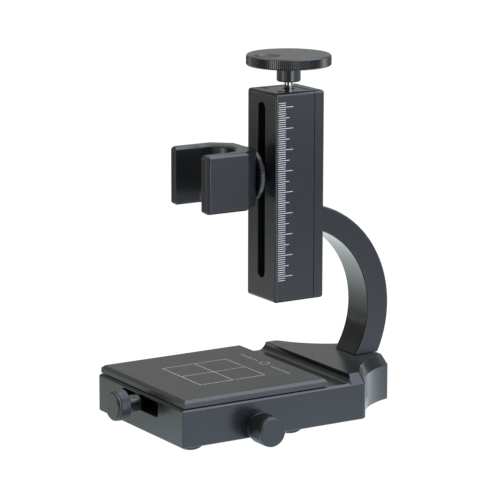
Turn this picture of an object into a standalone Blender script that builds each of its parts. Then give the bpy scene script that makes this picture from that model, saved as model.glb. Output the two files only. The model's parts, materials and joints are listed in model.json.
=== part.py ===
"""Focusing stand for a hand-held microscope.

A milled base carries a square XY stage, a C-shaped arm holds a slotted column, and a lead screw in the
column lifts a carriage with a U-shaped clip. Metres, +Z up, the stage and the clip face -Y.

Stand frame: X = 0 is the plane of symmetry, Y = 0 is the column's front face and Z = 0 is the table.
The stand empty shifts that frame so that the world origin is under the middle of the whole object.
"""
import math

import bmesh
import bpy
from mathutils import Vector

# Running and assembly gap between neighbouring pieces
GAP = 0.0003

# Base block
BASE_HALF_WIDTH = 0.0392
BASE_FRONT_Y = -0.0660
BASE_REAR_Y = 0.0633
BASE_BOTTOM_Z = 0.0027
BASE_LOW_TOP_Z = 0.02075
BASE_CHAMFER = 0.0010
PLATEAU_TOP_Z = 0.0249
PLATEAU_INSET = 0.0026
PLATEAU_FRONT_Y = 0.0259
COVE_RADIUS = 0.0030
BOTTOM_EDGE_BREAK = 0.0004
SCALLOP_CENTRE = (0.0567, 0.0729)
SCALLOP_RADIUS = 0.04265
FRONT_CORNER_RADIUS = 0.0006
SIDE_CORNER_RADIUS = 0.0030
TAIL_CORNER_RADIUS = 0.0015

# Pocket for the stage's slides, and the cover under it
POCKET_HALF_WIDTH = 0.0260
POCKET_Y = (-0.0540, 0.0010)
COVER_RECESS_HALF_WIDTH = 0.0285
COVER_RECESS_Y = (-0.0585, 0.0055)
COVER_RECESS_TOP_Z = 0.0043
COVER_SCREW_X = 0.0200
COVER_SCREW_Y = (-0.0562, 0.0032)
COVER_SCREW_TIP_Z = 0.0090
FRONT_SLOT_HALF_LENGTH = 0.0166
FRONT_SLOT_Z = (0.0122, 0.0192)
FRONT_SLOT_CORNER = 0.0018

# Feet
FOOT_RADIUS = 0.0059
FOOT_DOME_HEIGHT = 0.0030
FOOT_FLAT_RADIUS = 0.0020
FOOT_STEM_RADIUS = 0.0022
FOOT_STEM_LENGTH = 0.0030
FOOT_SEAT_GAP = 0.0001
FOOT_PLACES = ((-0.0320, -0.0579), (0.0320, -0.0579), (-0.0320, -0.0043), (0.0320, -0.0043), (0.0, 0.0455))

# Stage plate
STAGE_HALF_WIDTH = 0.0388
STAGE_Y = (-0.0650, 0.0127)
STAGE_Z = (0.02114, 0.02486)
STAGE_BEVEL = 0.00135
STAGE_CENTRE_Y = (STAGE_Y[0] + STAGE_Y[1]) / 2

# Knobs and the screws that move the stage
KNOB_RADIUS = 0.0071
KNOB_CHAMFER = 0.0007
SCREW_RADIUS = 0.0015
ROD_RADIUS = 0.0015
NUT_RADIUS = 0.0025
X_AXIS_Y = -0.0260
X_AXIS_Z = 0.0078
X_KNOB_X = (0.0425, 0.0527)
X_NECK_RADIUS = 0.0038
X_BUSH_FLANGE_RADIUS = 0.0066
X_BUSH_FLANGE_END = 0.0412
BUSH_BODY_RADIUS = 0.0028
X_ROD_OFFSET = 0.0170
Y_AXIS_Z = 0.0158
Y_KNOB_Y = (-0.0810, -0.0741)
Y_NECK_RADIUS = 0.0040
Y_NECK_END = -0.0671
Y_ROD_OFFSET = 0.0100

# Saddle and stage carriage
SADDLE_HALF_WIDTH = 0.0130
SADDLE_Y = (-0.0534, -0.0020)
SADDLE_Z = (0.0046, 0.0118)
LUG_THICKNESS = 0.0040
LUG_TOP_Z = 0.0200
CARRIAGE_HALF_WIDTH = 0.0140
CARRIAGE_HALF_LENGTH = 0.0090
CARRIAGE_Z = (0.0121, 0.02084)
STAGE_SCREW_SEAT_Z = 0.0143
STAGE_SCREW_TIP_Z = 0.0230

# Arm
ARM_HALF_WIDTH = 0.0087
ARM_CENTRE = (0.01304, 0.04865)
ARM_OUTER_RADIUS = 0.05383
ARM_INNER_RADIUS = 0.04221
ARM_EDGE_BREAK = 0.0005
ARM_SCREW_X = 0.0046
ARM_FOOT_SCREW_Y = 0.0548
ARM_SCREW_SEAT_Z = 0.0076
ARM_TOP_SCREW_Z = 0.0946

# Column
COLUMN_HALF_WIDTH = 0.0124
COLUMN_DEPTH = 0.0270
COLUMN_Z = (0.05678, 0.15605)
COLUMN_EDGE = 0.0007
SEAM_Y = 0.02148
CAVITY_HALF_WIDTH = 0.0082
CAVITY_FRONT_Y = 0.0040
CAVITY_Z = (0.0616, 0.1514)
COLUMN_SLOT_HALF_WIDTH = 0.0031
COLUMN_SLOT_Z = (0.0673, 0.1509)
TOP_CAP_HALF_WIDTH = 0.0090
TOP_CAP_Y = (0.0030, 0.0208)
TOP_CAP_THICKNESS = 0.0022
TOP_CAP_SCREW = (0.0062, 0.0062)
CAP_SCREW_TIP_Z = 0.1527
REAR_SCREW_X = 0.0099
REAR_SCREW_Z = (0.0611, 0.1516)

# Lead screw and hand wheel
LEAD_Y = 0.0149
LEAD_RADIUS = 0.0020
LEAD_Z = (0.0586, 0.1691)
WHEEL_RADIUS = 0.0200
WHEEL_Z = (0.1671, 0.17217)
WHEEL_CHAMFER = 0.0005
HUB_RADIUS = 0.0057
HUB_BOTTOM_Z = 0.1595
DIMPLE_OFFSET = 0.0119
DIMPLE_RADIUS = 0.0054
DIMPLE_DEPTH = 0.0012
SET_SCREW_Z = 0.1631

# Z carriage and clip
CLIP_Z = 0.1174
Z_BLOCK_Z = (CLIP_Z - 0.0080, CLIP_Z + 0.0055)
Z_BLOCK_HALF_WIDTH = 0.0079
Z_BLOCK_Y = (0.0044, 0.0209)
Z_ROD = (0.0053, 0.0083)
Z_ROD_Z = (0.0594, 0.1524)
Z_NUT_RADIUS = 0.0035
Z_NUT_FLANGE_RADIUS = 0.0050
SPINDLE_RADIUS = 0.0025
SPINDLE_Y = (-0.0084, 0.0090)
SPACER_RADIUS = 0.0048
SPACER_Y = (-0.0050, -0.0005)
RING_RADIUS = 0.0127
RING_Y = (-0.0081, -0.0054)
CLIP_HALF_WIDTH = 0.0172
CLIP_HALF_HEIGHT = 0.0137
CLIP_FRONT_Y = -0.0397
CLIP_BACK_Y = -0.0087
CLIP_SIDE_END_Y = -0.0179
CLIP_BACK_HALF_WIDTH = 0.0094
CLIP_MOUTH_HALF = 0.0115
CLIP_BORE_Y = -0.0275
CLIP_FRONT_CUT = 0.0015
CLIP_BEVEL = 0.0011

# Facets round a full turn
STEPS_WHEEL = 56
STEPS_KNOB = 32
STEPS_SMALL = 16

# Whole object's box, whose middle is the world origin
OBJECT_X = (-BASE_HALF_WIDTH, X_KNOB_X[1])
OBJECT_Y = (Y_KNOB_Y[0], ARM_CENTRE[0] + ARM_OUTER_RADIUS)

AXIS_ROTATION = {
    "X": (0.0, math.pi / 2, 0.0),
    "Y": (-math.pi / 2, 0.0, 0.0),
    "Z": (0.0, 0.0, 0.0),
}


# ---------------------------------------------------------------- scene

def start_scene():
    """Empty the scene and make the two collections."""
    for obj in list(bpy.data.objects):
        bpy.data.objects.remove(obj, do_unlink=True)
    collections = []
    for name in ("microscope_stand", "cutters"):
        collection = bpy.data.collections.new(name)
        bpy.context.scene.collection.children.link(collection)
        collections.append(collection)
    return collections


def add_empty(name, place, parent=None):
    """An empty at a place in the stand frame."""
    empty = bpy.data.objects.new(name, None)
    empty.empty_display_size = 0.005
    PARTS.objects.link(empty)
    empty.parent = parent
    empty.location = Vector(place) - stand_place(parent)
    return empty


def stand_place(empty):
    """Where an empty stands in the stand frame."""
    place = Vector((0.0, 0.0, 0.0))
    while empty is not None and empty.parent is not None:
        place += empty.location
        empty = empty.parent
    return place


def material(name, colour, metallic, roughness):
    """A Principled material of one colour."""
    made = bpy.data.materials.new(name)
    made.use_nodes = True
    shader = made.node_tree.nodes["Principled BSDF"]
    shader.inputs["Base Color"].default_value = (*colour, 1.0)
    shader.inputs["Metallic"].default_value = metallic
    shader.inputs["Roughness"].default_value = roughness
    made.diffuse_color = (*colour, 1.0)
    return made


PARTS, CUTTERS = start_scene()
STAND = add_empty("stand", (0.0, 0.0, 0.0))
STAND.location = (-sum(OBJECT_X) / 2, -sum(OBJECT_Y) / 2, 0.0)

BLACK = material("black_anodised", (0.045, 0.046, 0.048), 0.6, 0.42)
STAGE_GREY = material("stage_anodised", (0.11, 0.11, 0.10), 0.4, 0.5)
STEEL = material("polished_steel", (0.62, 0.62, 0.63), 1.0, 0.2)
BRASS = material("brass", (0.71, 0.53, 0.25), 1.0, 0.3)
RUBBER = material("rubber", (0.02, 0.02, 0.02), 0.0, 0.8)
SCREW_BLACK = material("black_screw", (0.03, 0.03, 0.03), 0.7, 0.4)


# ---------------------------------------------------------------- solids

def add_object(name, mesh, place, finish, parent=None, axis="Z"):
    """Link a mesh as a piece, or as a cutter where it has no finish."""
    obj = bpy.data.objects.new(name, mesh)
    parent = parent or STAND
    obj.parent = parent
    obj.rotation_euler = AXIS_ROTATION[axis]
    obj.location = Vector(place) - stand_place(parent)
    if finish is None:
        CUTTERS.objects.link(obj)
        obj.hide_render = True
        obj.display_type = "WIRE"
    else:
        PARTS.objects.link(obj)
        mesh.materials.append(finish)
    return obj


def box(name, low, high, finish, parent=None):
    """A box between two corners."""
    low = Vector(low)
    high = Vector(high)
    made = bmesh.new()
    bmesh.ops.create_cube(made, size=1.0)
    bmesh.ops.scale(made, vec=high - low, verts=made.verts)
    mesh = bpy.data.meshes.new(name)
    made.to_mesh(mesh)
    made.free()
    return add_object(name, mesh, (low + high) / 2, finish, parent)


def turned(name, profile, place, axis, finish, parent=None, steps=STEPS_SMALL, ring=False):
    """A profile of (radius, height) turned about an axis; a ring's profile is a closed loop."""
    mesh = bpy.data.meshes.new(name)
    count = len(profile)
    edges = [(i, i + 1) for i in range(count - 1)]
    if ring:
        edges.append((count - 1, 0))
    mesh.from_pydata([(radius, 0.0, height) for radius, height in profile], edges, [])
    obj = add_object(name, mesh, place, finish, parent, axis)
    screw = obj.modifiers.new("turn", "SCREW")
    screw.steps = steps
    screw.render_steps = steps
    screw.use_merge_vertices = True
    screw.merge_threshold = 0.00001
    screw.use_smooth_shade = True
    return obj


def rod(name, radius, start, end, place, axis, finish, parent=None, steps=STEPS_SMALL, chamfer=0.0):
    """A straight bar from start to end along an axis through a place."""
    profile = [(0.0, end), (radius - chamfer, end)]
    if chamfer:
        profile += [(radius, end - chamfer), (radius, start + chamfer)]
    else:
        profile += [(radius, start)]
    if chamfer:
        profile.append((radius - chamfer, start))
    profile.append((0.0, start))
    return turned(name, profile, place, axis, finish, parent, steps)


def sleeve(name, inner, outer, start, end, place, axis, finish, parent=None, steps=STEPS_SMALL):
    """A plain tube from start to end along an axis through a place."""
    profile = [(inner, end), (outer, end), (outer, start), (inner, start)]
    return turned(name, profile, place, axis, finish, parent, steps, ring=True)


def screw_piece(name, place, axis, shank, head, head_end, seat, tip, parent=None):
    """A cap screw: head from head_end to seat, shank from seat to tip, along an axis."""
    profile = [(0.0, tip), (shank, tip), (shank, seat), (head, seat), (head, head_end), (0.0, head_end)]
    if tip < seat:
        profile.reverse()
    return turned(name, profile, place, axis, SCREW_BLACK, parent, steps=12)


def outline_solid(name, outline, half, place, finish, rotation=(0.0, 0.0, 0.0)):
    """A closed flat outline, extruded by half its thickness each way."""
    curve = bpy.data.curves.new(name, "CURVE")
    curve.dimensions = "2D"
    curve.fill_mode = "BOTH"
    curve.extrude = half
    spline = curve.splines.new("POLY")
    spline.points.add(len(outline) - 1)
    for point, (x, y) in zip(spline.points, outline):
        point.co = (x, y, 0.0, 1.0)
    spline.use_cyclic_u = True
    flat = bpy.data.objects.new(name + "_curve", curve)
    bpy.context.scene.collection.objects.link(flat)
    mesh = bpy.data.meshes.new_from_object(flat.evaluated_get(bpy.context.evaluated_depsgraph_get()))
    bpy.data.objects.remove(flat, do_unlink=True)
    welded = bmesh.new()
    welded.from_mesh(mesh)
    bmesh.ops.remove_doubles(welded, verts=welded.verts, dist=0.000001)
    bmesh.ops.dissolve_limit(welded, angle_limit=0.001, verts=welded.verts, edges=welded.edges)
    bmesh.ops.recalc_face_normals(welded, faces=welded.faces)
    welded.to_mesh(mesh)
    welded.free()
    mesh.name = name
    obj = add_object(name, mesh, place, finish)
    obj.rotation_euler = rotation
    return obj


def combine(target, tool, operation="DIFFERENCE"):
    """Cut a piece with a tool, or join the tool to it."""
    boolean = target.modifiers.new(operation.lower(), "BOOLEAN")
    boolean.operation = operation
    boolean.solver = "EXACT"
    boolean.object = tool
    return target


def drill(target, name, radius, start, end, place, axis, steps=STEPS_SMALL):
    """A round hole in a piece."""
    return combine(target, rod(name, radius, start, end, place, axis, None, steps=steps))


def stepped_hole(target, name, first, second, place, axis):
    """A hole in two sizes, each (radius, start, end) along an axis, second after first."""
    profile = [(0.0, second[2]), (second[0], second[2]), (second[0], second[1])]
    profile += [(first[0], second[1]), (first[0], first[1]), (0.0, first[1])]
    return combine(target, turned(name, profile, place, axis, None, steps=12))


def bevel(obj, width, segments=1):
    """Break a piece's sharp edges."""
    edge = obj.modifiers.new("edges", "BEVEL")
    edge.width = width
    edge.segments = segments
    edge.limit_method = "ANGLE"
    edge.angle_limit = math.radians(40)
    return obj


# ---------------------------------------------------------------- outlines

def arc(centre, radius, start, end, count):
    """Points on an arc, both ends included, angles in radians."""
    points = []
    for i in range(count + 1):
        angle = start + (end - start) * i / count
        points.append((centre[0] + radius * math.cos(angle), centre[1] + radius * math.sin(angle)))
    return points


def rounded(before, corner, after, radius, count):
    """The corner of a path, replaced by a round of a radius."""
    corner = Vector(corner)
    to_before = (Vector(before) - corner).normalized()
    to_after = (Vector(after) - corner).normalized()
    half = to_before.angle(to_after) / 2
    centre = corner + (to_before + to_after).normalized() * radius / math.sin(half)
    first = corner + to_before * radius / math.tan(half) - centre
    last = corner + to_after * radius / math.tan(half) - centre
    points = []
    for i in range(count + 1):
        spoke = first.lerp(last, i / count).normalized() * radius
        points.append(tuple(centre + spoke))
    return points


def base_half_outline(inset):
    """Right half of the base's plan, front to back, drawn in by an inset."""
    side = BASE_HALF_WIDTH - inset
    front = BASE_FRONT_Y + inset
    rear = BASE_REAR_Y - inset
    radius = SCALLOP_RADIUS + inset
    cx, cy = SCALLOP_CENTRE
    start = math.pi + math.acos((cx - side) / radius)
    end = math.pi + math.asin((cy - rear) / radius)
    scallop = arc(SCALLOP_CENTRE, radius, start, end, 9)
    points = rounded((0.0, front), (side, front), scallop[0], FRONT_CORNER_RADIUS, 2)
    points += rounded((side, front), scallop[0], scallop[1], SIDE_CORNER_RADIUS, 4)
    points += scallop[1:-1]
    points += rounded(scallop[-2], scallop[-1], (0.0, rear), TAIL_CORNER_RADIUS, 3)
    return points


def rounded_rectangle(half_width, half_height, radius, count):
    """A rectangle with round corners about its centre."""
    points = []
    for quarter, (sx, sy) in enumerate(((1, 1), (-1, 1), (-1, -1), (1, -1))):
        centre = (sx * (half_width - radius), sy * (half_height - radius))
        start = quarter * math.pi / 2
        points += arc(centre, radius, start, start + math.pi / 2, count)
    return points


# ---------------------------------------------------------------- base

def loft(name, sections, finish):
    """A solid through equal-count outlines, each at its own height."""
    made = bmesh.new()
    rings = []
    for height, outline in sections:
        rings.append([made.verts.new((x, y, height)) for x, y in outline])
    count = len(rings[0])
    for lower, upper in zip(rings, rings[1:]):
        for i in range(count):
            j = (i + 1) % count
            made.faces.new((lower[i], lower[j], upper[j], upper[i]))
    made.faces.new(list(reversed(rings[0])))
    made.faces.new(rings[-1])
    bmesh.ops.recalc_face_normals(made, faces=made.faces)
    mesh = bpy.data.meshes.new(name)
    made.to_mesh(mesh)
    made.free()
    return add_object(name, mesh, (0.0, 0.0, 0.0), finish)


def base_section(height, inset):
    """One level of the base: its plan, mirrored about X = 0."""
    half = base_half_outline(inset)
    mirrored = [(-x, y) for x, y in reversed(half)]
    return height, half + mirrored


def cut_step(base):
    """Lower the base's front part, with a cove up to the rear part and a chamfer round the top."""
    front = BASE_FRONT_Y - 0.005
    above = PLATEAU_TOP_Z + 0.005
    cove_start = PLATEAU_FRONT_Y - COVE_RADIUS
    profile = [(front, BASE_LOW_TOP_Z)]
    profile += arc((cove_start, BASE_LOW_TOP_Z + COVE_RADIUS), COVE_RADIUS, -math.pi / 2, 0.0, 8)
    profile += [(PLATEAU_FRONT_Y, above), (front, above)]
    upright = (math.pi / 2, 0.0, math.pi / 2)
    combine(base, outline_solid("step_tool", profile, BASE_HALF_WIDTH + 0.005, (0.0, 0.0, 0.0), None, upright))
    edge = BASE_CHAMFER
    reach = 0.004
    triangle = [(-edge - reach, reach), (reach, -edge - reach), (reach, reach)]
    for side in (-1, 1):
        outline = [(side * x, y) for x, y in triangle]
        half = (PLATEAU_FRONT_Y - front) / 2
        place = (side * BASE_HALF_WIDTH, front + half, BASE_LOW_TOP_Z)
        tool = outline_solid(f"side_chamfer_tool_{side}", outline, half, place, None, (math.pi / 2, 0.0, 0.0))
        combine(base, tool)
    outline = [(-x, y) for x, y in triangle]
    place = (0.0, BASE_FRONT_Y, BASE_LOW_TOP_Z)
    combine(base, outline_solid("front_chamfer_tool", outline, BASE_HALF_WIDTH + 0.005, place, None, upright))


def cut_pocket(base):
    """Pocket for the slides, recess for the cover, slot for the Y screw, holes for rods and bushes."""
    half = POCKET_HALF_WIDTH
    low = (-half, POCKET_Y[0], 0.0)
    high = (half, POCKET_Y[1], PLATEAU_TOP_Z)
    combine(base, box("pocket_tool", low, high, None))
    half = COVER_RECESS_HALF_WIDTH
    low = (-half, COVER_RECESS_Y[0], 0.0)
    high = (half, COVER_RECESS_Y[1], COVER_RECESS_TOP_Z)
    combine(base, box("cover_recess_tool", low, high, None))
    slot_half = (FRONT_SLOT_Z[1] - FRONT_SLOT_Z[0]) / 2
    slot = rounded_rectangle(FRONT_SLOT_HALF_LENGTH, slot_half, FRONT_SLOT_CORNER, 4)
    depth = (POCKET_Y[0] - BASE_FRONT_Y) / 2 + 0.001
    place = (0.0, (POCKET_Y[0] + BASE_FRONT_Y) / 2, FRONT_SLOT_Z[0] + slot_half)
    combine(base, outline_solid("front_slot_tool", slot, depth, place, None, (math.pi / 2, 0.0, 0.0)))
    axis_place = (0.0, X_AXIS_Y, X_AXIS_Z)
    bush = BUSH_BODY_RADIUS + GAP
    drill(base, "x_bush_hole", bush, half - 0.004, BASE_HALF_WIDTH + 0.001, axis_place, "X")
    drill(base, "x_end_bush_hole", bush, -0.0346, -half + 0.004, axis_place, "X")
    for side in (-1, 1):
        rod_place = (0.0, X_AXIS_Y + side * X_ROD_OFFSET, X_AXIS_Z)
        drill(base, f"x_rod_hole_{side}", ROD_RADIUS + GAP, -0.0310, 0.0310, rod_place, "X")


def cut_base_holes(base):
    """Holes for the feet's stems and for the arm's and the cover's screws."""
    for index, (x, y) in enumerate(FOOT_PLACES):
        top = BASE_BOTTOM_Z + FOOT_STEM_LENGTH + GAP
        drill(base, f"foot_hole_{index}", FOOT_STEM_RADIUS + GAP, 0.0, top, (x, y, 0.0), "Z")
    for side in (-1, 1):
        place = (side * ARM_SCREW_X, ARM_FOOT_SCREW_Y, 0.0)
        stepped_hole(base, f"arm_screw_hole_{side}", (0.0031, 0.0, ARM_SCREW_SEAT_Z), (0.0018, ARM_SCREW_SEAT_Z, 0.03), place, "Z")
        for y in COVER_SCREW_Y:
            hole_place = (side * COVER_SCREW_X, y, 0.0)
            drill(base, f"cover_screw_hole_{side}_{y:.3f}", 0.0013, 0.0, COVER_SCREW_TIP_Z + 0.0005, hole_place, "Z")


def build_base():
    """The base block."""
    sections = [
        base_section(BASE_BOTTOM_Z, BOTTOM_EDGE_BREAK),
        base_section(BASE_BOTTOM_Z + BOTTOM_EDGE_BREAK, 0.0),
        base_section(BASE_LOW_TOP_Z - BASE_CHAMFER, 0.0),
        base_section(PLATEAU_TOP_Z, PLATEAU_INSET),
    ]
    base = loft("base_block", sections, BLACK)
    cut_step(base)
    cut_pocket(base)
    cut_base_holes(base)


def build_cover():
    """The bottom cover and its four screws."""
    half = COVER_RECESS_HALF_WIDTH - GAP
    low = (-half, COVER_RECESS_Y[0] + GAP, BASE_BOTTOM_Z)
    high = (half, COVER_RECESS_Y[1] - GAP, COVER_RECESS_TOP_Z - GAP)
    cover = box("bottom_cover", low, high, BLACK)
    seat = BASE_BOTTOM_Z + 0.0010
    number = 0
    for x in (-COVER_SCREW_X, COVER_SCREW_X):
        for y in COVER_SCREW_Y:
            number += 1
            place = (x, y, 0.0)
            stepped_hole(cover, f"cover_hole_{number}", (0.0022, 0.0, seat), (0.0013, seat, COVER_SCREW_TIP_Z), place, "Z")
            screw_piece(f"cover_screw_{number}", place, "Z", 0.0010, 0.0019, seat - 0.0009, seat, COVER_SCREW_TIP_Z)


def build_feet():
    """Domed rubber feet with a small flat below, pushed into the base by a stem."""
    seat = BASE_BOTTOM_Z - FOOT_SEAT_GAP
    stem_top = seat + FOOT_STEM_LENGTH
    start = math.asin(FOOT_FLAT_RADIUS / FOOT_RADIUS)
    profile = [(0.0, stem_top), (FOOT_STEM_RADIUS, stem_top), (FOOT_STEM_RADIUS, seat), (FOOT_RADIUS - 0.0002, seat)]
    end = math.acos(math.cos(start) - (seat - 0.0003) / FOOT_DOME_HEIGHT)
    for i in range(7):
        angle = end + (start - end) * i / 6
        height = FOOT_DOME_HEIGHT * (math.cos(start) - math.cos(angle))
        profile.append((FOOT_RADIUS * math.sin(angle), height))
    profile.append((0.0, 0.0))
    for number, (x, y) in enumerate(FOOT_PLACES, start=1):
        turned(f"foot_{number}", profile, (x, y, 0.0), "Z", RUBBER, steps=24)


# ---------------------------------------------------------------- arm

def arm_outline():
    """The arm from the side, as (Y, Z): an arc of constant depth, cut flat at its foot and at its top."""
    cy, cz = ARM_CENTRE
    foot_z = PLATEAU_TOP_Z + GAP
    top_y = COLUMN_DEPTH + GAP
    points = []
    outer_start = math.asin((foot_z - cz) / ARM_OUTER_RADIUS)
    outer_end = math.acos((top_y - cy) / ARM_OUTER_RADIUS)
    points += arc(ARM_CENTRE, ARM_OUTER_RADIUS, outer_start, outer_end, 30)
    inner_start = math.acos((top_y - cy) / ARM_INNER_RADIUS)
    inner_end = math.asin((foot_z - cz) / ARM_INNER_RADIUS)
    points += arc(ARM_CENTRE, ARM_INNER_RADIUS, inner_start, inner_end, 26)
    return points


def build_arm():
    """The C-shaped arm with its screws into the base and the column."""
    upright = (math.pi / 2, 0.0, math.pi / 2)
    arm = outline_solid("arm", arm_outline(), ARM_HALF_WIDTH, (0.0, 0.0, 0.0), BLACK, upright)
    bevel(arm, ARM_EDGE_BREAK)
    foot_z = PLATEAU_TOP_Z
    head_z = ARM_SCREW_SEAT_Z - 0.0033
    plate_y = SEAM_Y + GAP / 2
    for number, side in enumerate((-1, 1), start=1):
        place = (side * ARM_SCREW_X, ARM_FOOT_SCREW_Y, 0.0)
        drill(arm, f"arm_foot_hole_{number}", 0.0018, foot_z - 0.001, foot_z + 0.0095, place, "Z")
        screw_piece(f"arm_base_screw_{number}", place, "Z", 0.0015, 0.00275, head_z, ARM_SCREW_SEAT_Z - GAP, foot_z + 0.0088)
        place = (side * ARM_SCREW_X, 0.0, ARM_TOP_SCREW_Z)
        drill(arm, f"arm_top_hole_{number}", 0.0018, COLUMN_DEPTH - 0.001, 0.0365, place, "Y")
        screw_piece(
            f"arm_column_screw_{number}", place, "Y", 0.0015, 0.00275, plate_y + 0.0002, plate_y + 0.0028, 0.0358)


# ---------------------------------------------------------------- column

def column_block(name, split_low, split_high):
    """The column's whole outside, kept between two values of Y."""
    low = (-COLUMN_HALF_WIDTH, 0.0, COLUMN_Z[0])
    high = (COLUMN_HALF_WIDTH, COLUMN_DEPTH, COLUMN_Z[1])
    block = box(name, low, high, BLACK)
    bevel(block, COLUMN_EDGE, segments=3)
    reach = 0.005
    low = (-COLUMN_HALF_WIDTH - reach, split_low, COLUMN_Z[0] - reach)
    high = (COLUMN_HALF_WIDTH + reach, split_high, COLUMN_Z[1] + reach)
    combine(block, box(name + "_split", low, high, None))
    return block


def build_housing():
    """The column's front part: a milled trough with a slot in front and solid ends."""
    housing = column_block("column_housing", SEAM_Y - GAP / 2, COLUMN_DEPTH + 0.005)
    low = (-CAVITY_HALF_WIDTH, CAVITY_FRONT_Y, CAVITY_Z[0])
    high = (CAVITY_HALF_WIDTH, COLUMN_DEPTH, CAVITY_Z[1])
    combine(housing, box("cavity_tool", low, high, None))
    slot_half = (COLUMN_SLOT_Z[1] - COLUMN_SLOT_Z[0]) / 2
    slot = rounded_rectangle(COLUMN_SLOT_HALF_WIDTH, slot_half, COLUMN_SLOT_HALF_WIDTH * 0.999, 8)
    place = (0.0, CAVITY_FRONT_Y / 2, COLUMN_SLOT_Z[0] + slot_half)
    tool = outline_solid("column_slot_tool", slot, CAVITY_FRONT_Y, place, None, (math.pi / 2, 0.0, 0.0))
    combine(housing, tool)
    low = (-TOP_CAP_HALF_WIDTH, TOP_CAP_Y[0], COLUMN_Z[1] - TOP_CAP_THICKNESS)
    high = (TOP_CAP_HALF_WIDTH, TOP_CAP_Y[1], COLUMN_Z[1] + 0.001)
    combine(housing, box("top_recess_tool", low, high, None))
    lead_place = (0.0, LEAD_Y, 0.0)
    drill(housing, "top_bearing_hole", 0.0043, CAVITY_Z[1] - 0.001, COLUMN_Z[1], lead_place, "Z")
    drill(housing, "bottom_bearing_hole", 0.0038, COLUMN_Z[0] + 0.001, CAVITY_Z[0] + 0.001, lead_place, "Z")
    for side in (-1, 1):
        rod_place = (side * Z_ROD[0], Z_ROD[1], 0.0)
        drill(housing, f"z_rod_hole_{side}", ROD_RADIUS + GAP, Z_ROD_Z[0] - GAP, Z_ROD_Z[1] + GAP, rod_place, "Z")
        cap_screw_place = (side * TOP_CAP_SCREW[0], TOP_CAP_SCREW[1], 0.0)
        drill(housing, f"cap_screw_hole_{side}", 0.0009, CAP_SCREW_TIP_Z - 0.0004, COLUMN_Z[1], cap_screw_place, "Z")
        for z in REAR_SCREW_Z:
            screw_place = (side * REAR_SCREW_X, 0.0, z)
            drill(housing, f"rear_screw_hole_{side}_{z:.3f}", 0.0010, 0.0155, COLUMN_DEPTH, screw_place, "Y")


def build_rear_plate():
    """The plate that closes the column's back, with its four screws."""
    plate = column_block("column_rear_plate", -0.005, SEAM_Y + GAP / 2)
    seat = COLUMN_DEPTH - 0.0020
    number = 0
    for side in (-1, 1):
        place = (side * ARM_SCREW_X, 0.0, ARM_TOP_SCREW_Z)
        sink_end = SEAM_Y + 0.0032
        stepped_hole(plate, f"arm_hole_{side}", (0.0031, 0.02, sink_end), (0.0018, sink_end, 0.03), place, "Y")
        for z in REAR_SCREW_Z:
            number += 1
            place = (side * REAR_SCREW_X, 0.0, z)
            stepped_hole(plate, f"plate_hole_{number}", (0.0010, 0.02, seat), (0.0015, seat, 0.03), place, "Y")
            screw_piece(
                f"rear_plate_screw_{number}", place, "Y", 0.0007, 0.0012, COLUMN_DEPTH - 0.0003, seat + 0.0002,
                0.0160)


def build_top_cap():
    """The cap let into the column's top, with its two screws, and the lead screw's bearings."""
    half = TOP_CAP_HALF_WIDTH - GAP
    top = COLUMN_Z[1] - 0.0001
    under = COLUMN_Z[1] - TOP_CAP_THICKNESS + GAP
    low = (-half, TOP_CAP_Y[0] + GAP, under)
    high = (half, TOP_CAP_Y[1] - GAP, top)
    cap = box("column_top_cap", low, high, BLACK)
    lead_place = (0.0, LEAD_Y, 0.0)
    drill(cap, "cap_lead_hole", LEAD_RADIUS + GAP, under - 0.001, top + 0.001, lead_place, "Z")
    seat = top - 0.0010
    for number, side in enumerate((-1, 1), start=1):
        place = (side * TOP_CAP_SCREW[0], TOP_CAP_SCREW[1], 0.0)
        shank = (0.0009, under - 0.001, seat)
        stepped_hole(cap, f"cap_hole_{number}", shank, (0.0014, seat, top + 0.001), place, "Z")
        screw_piece(f"top_cap_screw_{number}", place, "Z", 0.0006, 0.0011, top - 0.0002, seat + 0.0002, CAP_SCREW_TIP_Z)
    bore = LEAD_RADIUS + GAP
    sleeve("top_bearing", bore, 0.0040, CAVITY_Z[1] + 0.0001, under - GAP, lead_place, "Z", STEEL, steps=32)
    sleeve("bottom_bearing", bore, 0.0035, LEAD_Z[0] - 0.0002, CAVITY_Z[0] - 0.0001, lead_place, "Z", STEEL, steps=32)


def build_z_rods():
    """The two rods that the Z carriage runs on."""
    for number, side in enumerate((-1, 1), start=1):
        place = (side * Z_ROD[0], Z_ROD[1], 0.0)
        rod(f"z_guide_rod_{number}", ROD_RADIUS, Z_ROD_Z[0], Z_ROD_Z[1], place, "Z", STEEL)


# ---------------------------------------------------------------- focusing drive

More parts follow.
